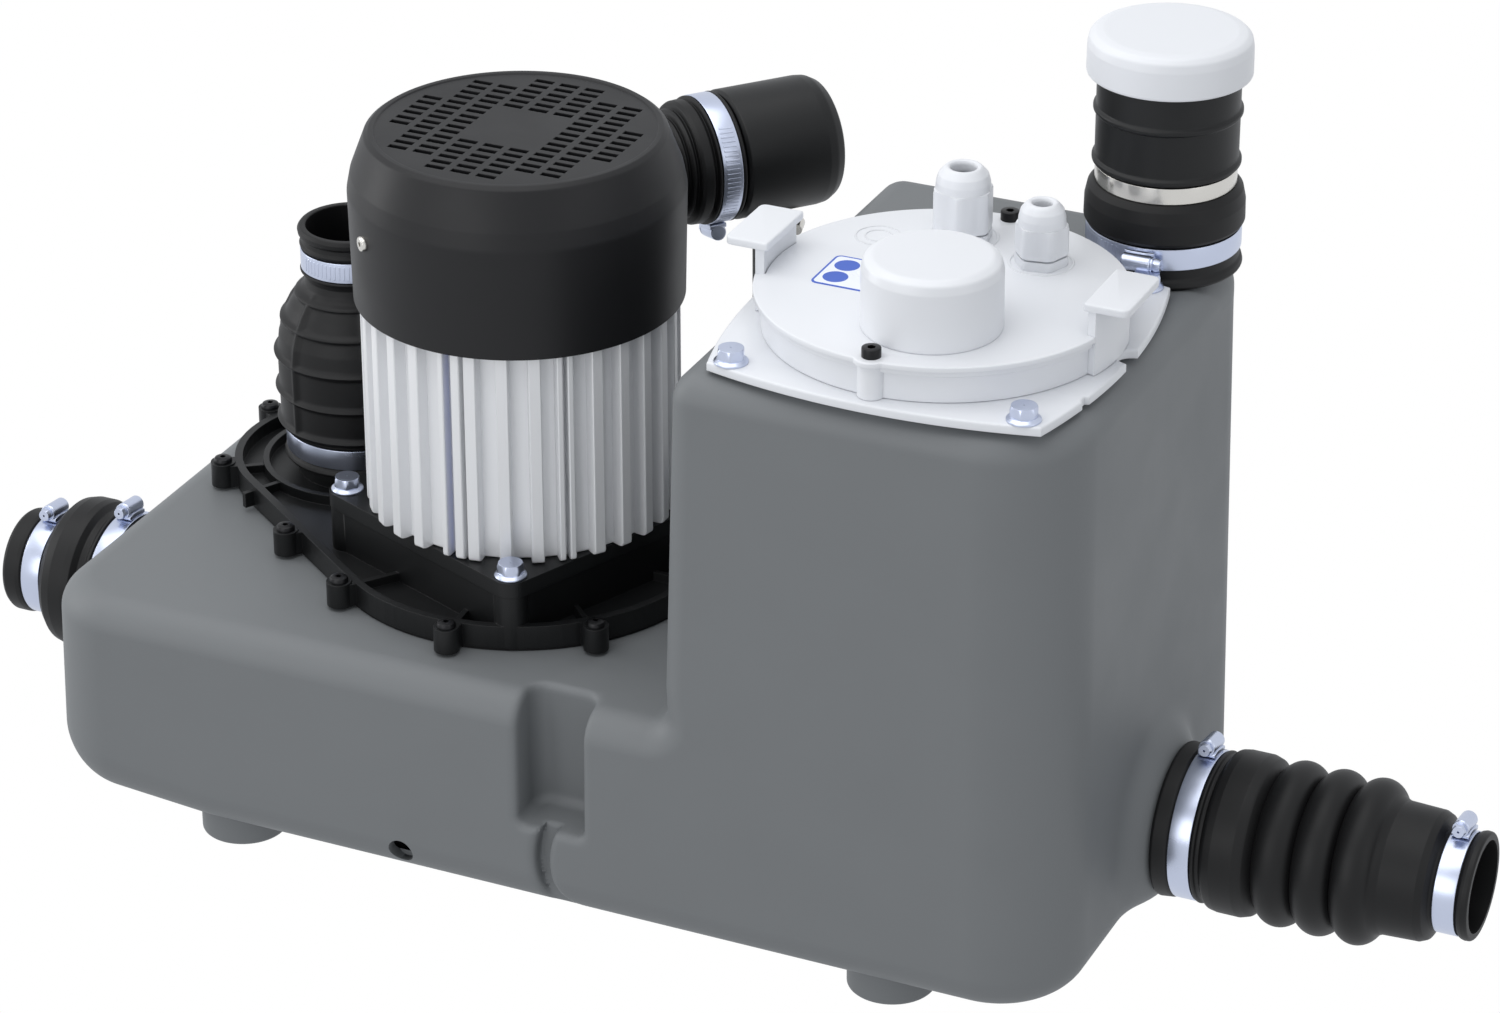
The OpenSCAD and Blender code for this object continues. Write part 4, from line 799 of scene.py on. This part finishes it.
def handle_data(side):
    """Curved upright of a handle, standing in the wall of the housing."""
    base = 0.0 if side > 0 else 180.0
    a0, a1 = math.degrees(math.asin(-25 / 94)), math.degrees(math.asin(19 / 94))
    if side < 0:
        a0, a1 = -a1, -a0
    angles = np.radians(np.linspace(a0, a1, 13))
    outline = ([(96.3 * math.cos(a), 96.3 * math.sin(a)) for a in angles]
               + [(91.6 * math.cos(a), 91.6 * math.sin(a)) for a in angles[::-1]])
    return slab_data(outline, 356.4, 393.0, 0.3, place=at(*LID, turn=base))


def grip_data(side):
    """Flat grip on top of a handle, rounder at its outer corners."""
    x0, x1 = (86, 110) if side > 0 else (-110, -86)
    corners = [(x0, -26), (x1, -26), (x1, 20), (x0, 20)]
    radii = [1.5, 4.5, 4.5, 1.5] if side > 0 else [4.5, 1.5, 1.5, 4.5]
    outline = soft(corners, radii, 6, closed=True)
    return slab_data([(x + LID[0], y + LID[1]) for x, y in outline], GRIP_LOW, GRIP_TOP, 0.9,
                     0.5)


def build_disc():
    """Flat cover disc with bosses under the cap screws and notches for the handles."""
    pts = []
    for a in around(720):
        x, y = DISC_R * math.cos(a), DISC_R * math.sin(a)
        for sy in (-1, 1):
            if abs(x) < 9 and y * sy > 0:
                y = sy * max(abs(y), LID_SCREW_R + math.sqrt(max(81 - x * x, 0)))
        if abs(x) > 60 and -25.4 < y < 19.4:
            r = math.hypot(x, y)
            x, y = x * 91.2 / r, y * 91.2 / r
        pts.append((x + LID[0], y + LID[1]))
    parts = [slab_data(pts, 374.5, DISC_Z, top=0.8, low=0.4)]
    # Raised rings: place, radius, half widths at the foot and at the top, height
    for (x, y), r, foot, top, lift in (((-54, 43), 12.0, 0.5, 0.35, 0.3),
                                       ((-54, 43), 7.0, 0.5, 0.35, 0.3),
                                       (LARGE_GLAND, 18.5, 0.8, 0.5, 0.35),
                                       (SMALL_GLAND, 16.5, 0.8, 0.5, 0.35)):
        low = DISC_Z - 0.4
        parts.append(lathe_data([(r - foot, low), (r + foot, low), (r + top, DISC_Z + lift),
                                 (r - top, DISC_Z + lift)], 72, at(LID[0] + x, LID[1] + y),
                                closed=True))
    piece("control_cover_disc", join_data(*parts), "white", 35, "control_cover", "control_unit")


def build_glands():
    """Cable glands: collar with a threaded tube, and the dome nut."""
    for name, (x, y), flat, thread, bore, tube_top, top, turn in (
            ("large", LARGE_GLAND, 29.0, 12.0, 6.8, 22, 40.0, 12),
            ("small", SMALL_GLAND, 25.0, 10.0, 5.0, 18, 34.0, 40)):
        place = at(LID[0] + x, LID[1] + y, DISC_Z)
        turned = place @ Matrix.Rotation(math.radians(turn), 4, "Z")
        rows = [(bore, -10), (thread, -10)]
        for k in range(8):
            rows += [(thread, 5 + k * 1.5), (thread - 0.7, 5.75 + k * 1.5)]
        rows += [(thread - 0.5, tube_top), (bore, tube_top)]
        body = join_data(lathe_data(rows, 64, place, closed=True),
                         hex_ring(flat, bore + 3, 0.0, 5.0, turned))
        piece(name + "_gland_body", body, "white", 30, name + "_gland", "control_unit")
        dome = soft([(thread + 0.05, 8.0), (flat * 0.5, 8.0), (flat * 0.5, top - 12),
                     (flat * 0.49, top - 8), (flat * 0.45, top - 4), (flat * 0.36, top - 1.2),
                     (bore + 2.4, top), (bore + 0.6, top - 0.4), (bore, top - 2), (bore, top - 7),
                     (thread + 0.05, top - 8)], 2.0, closed=True)
        nut = join_data(hex_ring(flat, thread + 0.1, 6.0, top - 12.0, turned),
                        lathe_data(dome, 96, place, closed=True))
        piece(name + "_gland_dome_nut", nut, "white", 30, name + "_gland_nut", "control_unit")


def hex_radius(a, flat):
    """Distance from the middle to the side of a hexagon, in the direction a."""
    sector = (math.degrees(a) + 30) % 60 - 30
    return flat / 2 / math.cos(math.radians(sector))


def hex_ring(flat, bore, z0, z1, place):
    """Hexagon with turned-off corners and a round bore."""
    count, verts = 72, []
    for lift, z in ((0.55, z0), (0.0, z0 + 1.2), (0.0, z1 - 1.6), (0.8, z1), (None, z1), (None, z0)):
        for a in around(count):
            r = bore if lift is None else min(hex_radius(a, flat), flat * 0.566 - lift)
            verts.append(place @ Vector((r * math.cos(a), r * math.sin(a), z)))
    return verts, skin(6, count, closed=True)


def build_label():
    """Blank label: a white field with a blue rim and two plain blue discs."""
    x0, y0 = LID[0] - 60.5, LID[1] - 21

    def field(edge, wide, high, r):
        a, b, c, d = x0 - edge, y0 - edge, x0 + wide, y0 + high
        return soft([(a, b), (c, b), (c, d), (a, d)], r, 6, closed=True)

    discs = [slab_data(ring_points(6.6, 48, x0 + 7, y0 + dy), DISC_Z + 0.1, DISC_Z + 0.4)
             for dy in (7.5, 22.5)]
    piece("control_label_rim", slab_data(field(3, 29, 33, 4.0), DISC_Z, DISC_Z + 0.30),
          "label_blue", 30, "control_label", "control_unit")
    piece("control_label_field", slab_data(field(1.8, 27.8, 31.8, 3.0), DISC_Z + 0.05, DISC_Z + 0.34),
          "label", 30, body="control_unit")
    piece("control_label_discs", join_data(*discs), "label_blue", 30, body="control_unit")


# Barrel valve

def build_valve():
    """Rubber elbow, barrel with its nipple, and the drain hose back into the tank."""
    a = math.radians(BARREL_A)
    bend_z = BARREL_Z - BEND_R
    path = [Vector((LEG[0], LEG[1], z)) for z in np.linspace(151, bend_z, 20)]
    for k in range(1, 33):
        t = math.pi / 2 * k / 32
        out = BEND_R * (1 - math.cos(t))
        path.append(Vector((LEG[0] + out * math.cos(a), LEG[1] + out * math.sin(a),
                            bend_z + BEND_R * math.sin(t))))
    radii = [LEG_R + (1.6 if i < 3 else 0) for i in range(len(path))]
    mouth = soft([(17, 27), (22, 27), (23.4, 29.4), (27.4, 29.8), (28.2, 31.2), (27.0, 33.0),
                  (30.8, 33.4), (31.6, 34.8), (30.4, 36.8), (34.2, 37.2), (35.2, 39.2), (35.4, 44),
                  (34.4, 45.4), (34, 46.2), (36.4, 47), (36.7, 48), (35.8, 49), (35.8, 61),
                  (36.8, 61.6), (36.9, 62.8), (35.6, 64), (31.3, 64), (31.3, 43), (17.4, 42)], 1.0,
                 closed=True)
    elbow = join_data(sweep_data(path, radii, 72, 17.0),
                      lathe_data(mouth, 128, barrel(), closed=True))
    piece("valve_rubber_elbow", elbow, "rubber", 45, "valve_elbow")
    shell = soft([(25, 44), (31, 43.4), (31, 65), (35.2, 65), (37, 66.8), (37, 115), (36.4, 120),
                  (33.6, 125), (29.5, 127), (25.6, 127), (25, 126.4), (25, 113), (33, 112.8),
                  (33, 68), (25, 67.6)],
                 [0, 0.6, 0.4, 0.8, 1.2, 6, 5, 4, 2, 0.5, 0.5, 0.5, 1, 1, 0.5], closed=True)
    nipple = [(5, 271.2), (7.6, 271.2), (8, 272), (8, 298), (5, 298)]
    body = join_data(lathe_data(shell, 128, barrel(), closed=True),
                     lathe_data(nipple, 48, at(NIPPLE_X, NIPPLE_Y), closed=True))
    piece("valve_barrel_body", body, "black", 45, "valve_barrel")
    bend = 24
    hose = [Vector((NIPPLE_X, NIPPLE_Y, z)) for z in np.linspace(292, DRAIN_Z + bend, 30)]
    for k in range(1, 17):
        t = math.pi / 2 * k / 16
        hose.append(Vector((NIPPLE_X, NIPPLE_Y - bend * (1 - math.cos(t)),
                            DRAIN_Z + bend - bend * math.sin(t))))
    hose += [Vector((NIPPLE_X, y, DRAIN_Z)) for y in np.linspace(NIPPLE_Y - bend - 0.5, 150, 6)]
    piece("valve_drain_hose", sweep_data(hose, [10.5] * len(hose), 48, 8.05), "rubber", 45,
          "drain_hose")


# Worm clamps

def clamp(name, node, place, bands, screw_parts):
    """Bands with pressed worm slots, a saddle and a round worm barrel on each."""
    half, parts = 5.9, []
    for r, z, turn in bands:
        turned = place @ Matrix.Rotation(math.radians(turn), 4, "Z")
        band = soft([(r + 0.1, z - half), (r + 0.95, z - half), (r + 0.95, z + half),
                     (r + 0.1, z + half)], 0.35, 3, closed=True)
        parts += [lathe_data(band, 160, place, closed=True), slot_strip(r, z, turn, place)]
        parts += housing_parts(r, z, turned)
        screw_parts.append(worm_screw(r, z, turned))
    piece(name, join_data(*parts), "zinc", 35, node)


def worm_axis(turned, r, start, z):
    """Local +Z runs along the worm, across the band."""
    return turned @ Matrix.Translation((r, start, z)) @ Matrix.Rotation(-math.pi / 2, 4, "X")


def slot_strip(r, z, turn, place):
    """Raised edges of the slanted worm slots on the tail of the band."""
    verts, faces = [], []
    for k in range(26):
        a = math.radians(turn) - (14 + k * 2.6) / r
        for da, dz in ((-0.45, -4), (0.45, -4), (0.75, 4), (-0.15, 4)):
            b = a + da / r
            for lift in (0.9, 1.12):
                verts.append(place @ Vector(((r + lift) * math.cos(b), (r + lift) * math.sin(b),
                                             z + dz)))
        base = len(verts) - 8
        ring_low, ring_top = [base + 2 * i for i in range(4)], [base + 2 * i + 1 for i in range(4)]
        faces.append(tuple(ring_top))
        faces.append(tuple(ring_low[::-1]))
        for i in range(4):
            j = (i + 1) % 4
            faces.append((ring_low[i], ring_low[j], ring_top[j], ring_top[i]))
    return verts, faces


def housing_parts(r, z, turned):
    """Saddle with curved flanks and the round barrel of the worm."""
    saddle = soft([(r + 0.8, -8), (r + 3.4, -8), (r + 4.2, -4), (r + 4.4, 4), (r + 3.4, 8),
                   (r + 0.8, 8)], 1.0, 3, closed=True)
    worm = soft([(0.01, 0), (4.0, 0), (4.6, 0.8), (4.6, 15.2), (4.0, 16), (0.01, 16)], 0.5)
    return [slab_data(saddle, z - 5, z + 5, 0.5, 0.5, place=turned),
            lathe_data(worm, 40, worm_axis(turned, r + 6, -8, z))]


def worm_screw(r, z, turned):
    """Hexagon head with a washer face and a small round bore."""
    place = worm_axis(turned, r + 6, 8.02, z)
    washer = lathe_data(soft([(0.01, 0), (4.4, 0), (4.5, 0.9), (0.01, 1.0)], 0.2), 40, place)
    return join_data(washer, hex_ring(6.9, 0.6, 0.9, 4.9, place))


def build_clamps():
    """Worm bands, each as (radius, place along the axis, turn of its worm)."""
    screws = []
    flipped = inlet(-1) @ Matrix.Rotation(math.pi, 4, "X")
    for name, node, place, bands in (
            ("discharge_band_pair", "discharge_clamps", at(*DISCHARGE),
             [(BOOT_R, 172, 80), (SMALL_R, 282, 40)]),
            ("left_inlet_band_pair", "left_inlet_clamps", flipped,
             [(BOOT_R, -28.2, -6), (28.4, -78.6, -6)]),
            ("right_inlet_band_pair", "right_inlet_clamps", inlet(1),
             [(BOOT_R, 26.8, 171), (27.2, 167.9, 173)]),
            ("vent_worm_band", "vent_clamp", at(*VENT), [(BOOT_R, 366.5, 273)]),
            ("valve_worm_band", "valve_clamp", barrel(), [(35.8, 55, -12)])):
        clamp(name, node, place, bands, screws)
    piece("worm_screw_heads", join_data(*screws), "zinc", 30, "clamp_screws")
    place = at(NIPPLE_X, NIPPLE_Y)
    band = soft([(10.6, 277.6), (11.4, 277.6), (11.4, 286.4), (10.6, 286.4)], 0.2, 3, closed=True)
    turned = place @ Matrix.Rotation(math.radians(15), 4, "Z")
    saddle = soft([(11, -6), (13.6, -6), (13.9, 6), (11, 6)], 0.6, 3, closed=True)
    worm = [(0.01, 0), (3.2, 0), (3.4, 0.5), (3.4, 11), (0.01, 11)]
    small = join_data(lathe_data(band, 64, place, closed=True),
                      slab_data(saddle, 278, 286, 0.4, 0.4, place=turned),
                      lathe_data(worm, 32, worm_axis(turned, 15.5, -6, 282)))
    piece("drain_hose_band", small, "steel", 35, "drain_clamps")


# Screws, placed by geometry nodes

def scatter_tree(name):
    """Node tree that stands one copy of an object on every point of a mesh."""
    tree = bpy.data.node_groups.new(name, "GeometryNodeTree")
    for label, way, kind in (("Geometry", "INPUT", "Geometry"), ("Screw", "INPUT", "Object"),
                             ("Material", "INPUT", "Material"), ("Geometry", "OUTPUT", "Geometry")):
        tree.interface.new_socket(label, in_out=way, socket_type="NodeSocket" + kind)
    start = add(tree, "NodeGroupInput")
    info = add(tree, "GeometryNodeObjectInfo", {"As Instance": True},
               {"Object": start.outputs["Screw"]})
    turn = add(tree, "GeometryNodeInputNamedAttribute", {"Name": "turn"}, data_type="FLOAT_VECTOR")
    stand = add(tree, "GeometryNodeInstanceOnPoints", {},
                {"Points": start.outputs["Geometry"], "Instance": info.outputs["Geometry"],
                 "Rotation": turn.outputs[0]})
    real = add(tree, "GeometryNodeRealizeInstances", {}, {"Geometry": stand.outputs[0]})
    paint = add(tree, "GeometryNodeSetMaterial", {},
                {"Geometry": real.outputs[0], "Material": start.outputs["Material"]})
    end = add(tree, "NodeGroupOutput")
    tree.links.new(paint.outputs[0], end.inputs[0])
    return tree


SCATTER = scatter_tree("stand_on_points")


def scatter(name, screw, points, turns, key, node, body="base"):
    """Stands a screw on every point, turned by the angles given, and keeps the result as a piece."""
    mesh = bpy.data.meshes.new(name + "_points")
    mesh.from_pydata([tuple(v * MM for v in p) for p in points], [], [])
    attr = mesh.attributes.new("turn", "FLOAT_VECTOR", "POINT")
    for i, t in enumerate(turns):
        attr.data[i].vector = t
    holder = bpy.data.objects.new(name + "_holder", mesh)
    bpy.context.scene.collection.objects.link(holder)
    mod = holder.modifiers.new("stand", "NODES")
    mod.node_group = SCATTER
    ids = {s.name: s.identifier for s in SCATTER.interface.items_tree if s.in_out == "INPUT"}
    mod[ids["Screw"]] = screw
    mod[ids["Material"]] = M[key]
    bpy.context.view_layer.update()
    deps = bpy.context.evaluated_depsgraph_get()
    real = bpy.data.meshes.new_from_object(holder.evaluated_get(deps), depsgraph=deps)
    bpy.data.objects.remove(holder)
    bpy.data.objects.remove(screw)
    obj = bpy.data.objects.new(name, real)
    bpy.context.scene.collection.objects.link(obj)
    return dress(obj, key, node, body)


def flange_bolt():
    """M8 flange bolt head: flange, coned skirt, hexagon and a dished top."""
    flange = lathe_data(soft([(0.01, 0), (8.9, 0), (8.9, 1.0), (7.2, 2.4), (0.01, 2.8)],
                             [0, 0.3, 0.5, 0.6, 0]), 64)
    head = hex_ring(13.0, 0.4, 1.6, 8.0, Matrix.Identity(4))
    dish = lathe_data([(0.01, 6.9), (3.2, 7.1), (4.6, 7.9), (4.8, 7.95), (4.8, 7.0),
                       (0.01, 6.7)], 40)
    return mesh_object("flange_bolt_model", *join_data(flange, head, dish), 30)


def cap_screw(r, high, socket, dome):
    """Round head with a hexagon socket; rows without a radius are the socket's."""
    rows = [(r, 0.0), (r, high - dome), (r - dome * 0.35, high - dome * 0.3), (r - dome, high),
            (None, high), (None, high - 2.0)]
    count, verts = 48, []
    for edge, z in rows:
        for a in around(count):
            out = hex_radius(a, socket) if edge is None else edge
            verts.append((out * math.cos(a), out * math.sin(a), z))
    faces = skin(len(rows), count) + end_faces(len(rows), count)
    return mesh_object("cap_screw_model", verts, faces, 30)


def polar(centre, r, a):
    """Point at a radius and an angle in degrees."""
    return centre[0] + r * math.cos(math.radians(a)), centre[1] + r * math.sin(math.radians(a))


def cover_screw_places():
    """Round the motor, round the discharge, and two on the straight runs between them."""
    out = [polar(MOTOR, MOTOR_ROW_R, a) for a in (234, 275, 316, 357, 38)]
    out += [polar(DISCHARGE, TAIL_ROW_R, a) for a in (216, 160, 105)]
    for a, t in ((234, 0.5), (83, 0.62)):
        p, q = polar(MOTOR, MOTOR_ROW_R, a), polar(DISCHARGE, TAIL_ROW_R, a)
        out.append(tuple((1 - t) * p[i] + t * q[i] for i in (0, 1)))
    return out


def build_screws():
    """Flange bolts, cover screws, cap screws and side screws, each kind as one piece."""
    places = [polar(MOTOR, FLANGE_BOLT_R, 22.5 + 90 * k) for k in range(4)]
    scatter("motor_flange_bolts", flange_bolt(), [(x, y, FLANGE_TOP) for x, y in places],
            [(0, 0, math.radians(a)) for a in (10, 47, 23, 5)], "zinc", "motor_bolts")
    places = [(LID[0] + sx * 79, LID[1] + sy * 85) for sx in (-1, 1) for sy in (-1, 1)]
    scatter("lid_flange_bolts", flange_bolt(), [(x, y, PLATE_TOP) for x, y in places],
            [(0, 0, math.radians(a)) for a in (20, 52, 8, 33)], "zinc", "lid_bolts")
    places = cover_screw_places()
    scatter("cover_button_screws", cap_screw(5.2, 3.0, 3.0, 1.8),
            [(x, y, COVER_SEAT) for x, y in places],
            [(0, 0, math.radians(17 * i)) for i in range(len(places))], "dark_screw",
            "pump_cover_screws")
    scatter("control_cap_screws", cap_screw(5.0, 5.0, 4.0, 0.5),
            [(LID[0], LID[1] + sy * LID_SCREW_R, DISC_Z) for sy in (-1, 1)],
            [(0, 0, 0.3), (0, 0, 0.8)], "dark_screw", "control_screws", "control_unit")
    sides = (233, 53)
    scatter("fan_cover_side_screws", cap_screw(4.2, 2.4, 2.5, 1.0),
            [(*polar(MOTOR, COVER_R - 0.35, a), 354.2) for a in sides],
            [(0, math.pi / 2, math.radians(a)) for a in sides], "steel", "fan_cover_screws")


def build_tank():
    """Hollow moulding with its blind hole, and the round feet below it."""
    step = 2.3
    obj = surface_net("tank_moulding", tank_distance, (-340, -156, -4), (340, 168, 380), step)
    hole = slab_data(ring_points(BLIND_R, 48, BLIND_X, -BLIND_Z), 138.5, 160.0,
                     place=Matrix.Rotation(math.pi / 2, 4, "X") @ Matrix.Scale(-1, 4, (0, 1, 0)))
    cut_out(obj, mesh_object("blind_hole_cutter", *hole))
    shade_by(obj, tank_distance)
    dress(obj, "tank", "tank")
    line = soft([(0.01, 0), (FOOT_R, 0), (FOOT_R, 21.5), (0.01, 21.5)], [0, 2.0, 0.5, 0])
    feet = [lathe_data(line, 96, at(sx * FOOT_X, sy * FOOT_Y)) for sx in (-1, 1) for sy in (-1, 1)]
    piece("tank_feet", join_data(*feet), "tank", 35, "tank")


def build_strip():
    """Thin blue strip, left blank, between two fins."""
    strip = slab_data([(78.8, -1.3), (79.6, -1.3), (79.6, 1.3), (78.8, 1.3)], 186, 305,
                      place=at(*MOTOR, turn=270.1))
    piece("motor_blank_strip", strip, "label_blue", 30, "motor_label")


# Light, camera and backdrop

def area_light(name, place, size, power):
    """Rectangular lamp that points at the middle of the object."""
    data = bpy.data.lights.new(name, "AREA")
    data.shape = "RECTANGLE"
    data.size, data.size_y = size
    data.energy = power
    obj = bpy.data.objects.new(name, data)
    obj.location = place
    aim = Vector((0.04, 0.0, 0.2)) - Vector(place)
    obj.rotation_euler = aim.to_track_quat("-Z", "Y").to_euler()
    bpy.context.scene.collection.objects.link(obj)


def build_studio():
    """Four lamps, soft white surroundings and a plain white backdrop."""
    area_light("top_softbox", (-0.3, -0.2, 2.2), (2.4, 2.4), 26)
    area_light("front_fill", (-0.6, -2.6, 0.9), (2.0, 1.6), 16)
    area_light("left_strip", (-2.2, -0.4, 0.8), (0.8, 1.6), 12)
    area_light("right_strip", (2.2, -0.6, 0.9), (0.7, 1.6), 3)
    world = bpy.data.worlds.new("white_studio")
    bpy.context.scene.world = world
    world.use_nodes = True
    tree = world.node_tree
    tree.nodes.clear()
    out = add(tree, "ShaderNodeOutputWorld")
    soft_light = add(tree, "ShaderNodeBackground", {"Color": (0.88, 0.9, 0.93, 1), "Strength": 0.62})
    white = add(tree, "ShaderNodeBackground", {"Color": (1, 1, 1, 1), "Strength": 1.0})
    mirror = add(tree, "ShaderNodeBackground", {"Color": (0.95, 0.97, 1, 1), "Strength": 0.9})
    ray = add(tree, "ShaderNodeLightPath")
    glossy = add(tree, "ShaderNodeMixShader", {}, {0: ray.outputs["Is Glossy Ray"],
                                                   1: soft_light.outputs[0], 2: mirror.outputs[0]})
    mix = add(tree, "ShaderNodeMixShader", {}, {0: ray.outputs["Is Camera Ray"],
                                                1: glossy.outputs[0], 2: white.outputs[0]})
    tree.links.new(mix.outputs[0], out.inputs[0])


def build_camera():
    """Camera solved for the photo; focal length and principal point in its pixels."""
    focal, centre_x, centre_y, wide, high = 5022.68, 764.77, 501.31, 1500, 1013
    data = bpy.data.cameras.new("camera")
    data.sensor_width = 36.0
    data.lens = focal / wide * data.sensor_width
    data.shift_x = -(centre_x - wide / 2) / wide
    data.shift_y = (centre_y - high / 2) / wide
    data.clip_start, data.clip_end = 0.1, 20.0
    obj = bpy.data.objects.new("camera", data)
    obj.location = (1.0700, -2.1860, 1.4458)
    obj.rotation_euler = (math.radians(90 - 27.23), 0, math.radians(24.513))
    bpy.context.scene.collection.objects.link(obj)
    bpy.context.scene.camera = obj


for build in (paint_nodes, build_tank, build_boots, build_vent, build_fan_cover, build_motor_body,
              build_strip, build_lid, build_glands, build_label, build_valve, build_clamps,
              build_screws, build_studio, build_camera):
    build()
bpy.context.scene.view_settings.view_transform = "Standard"
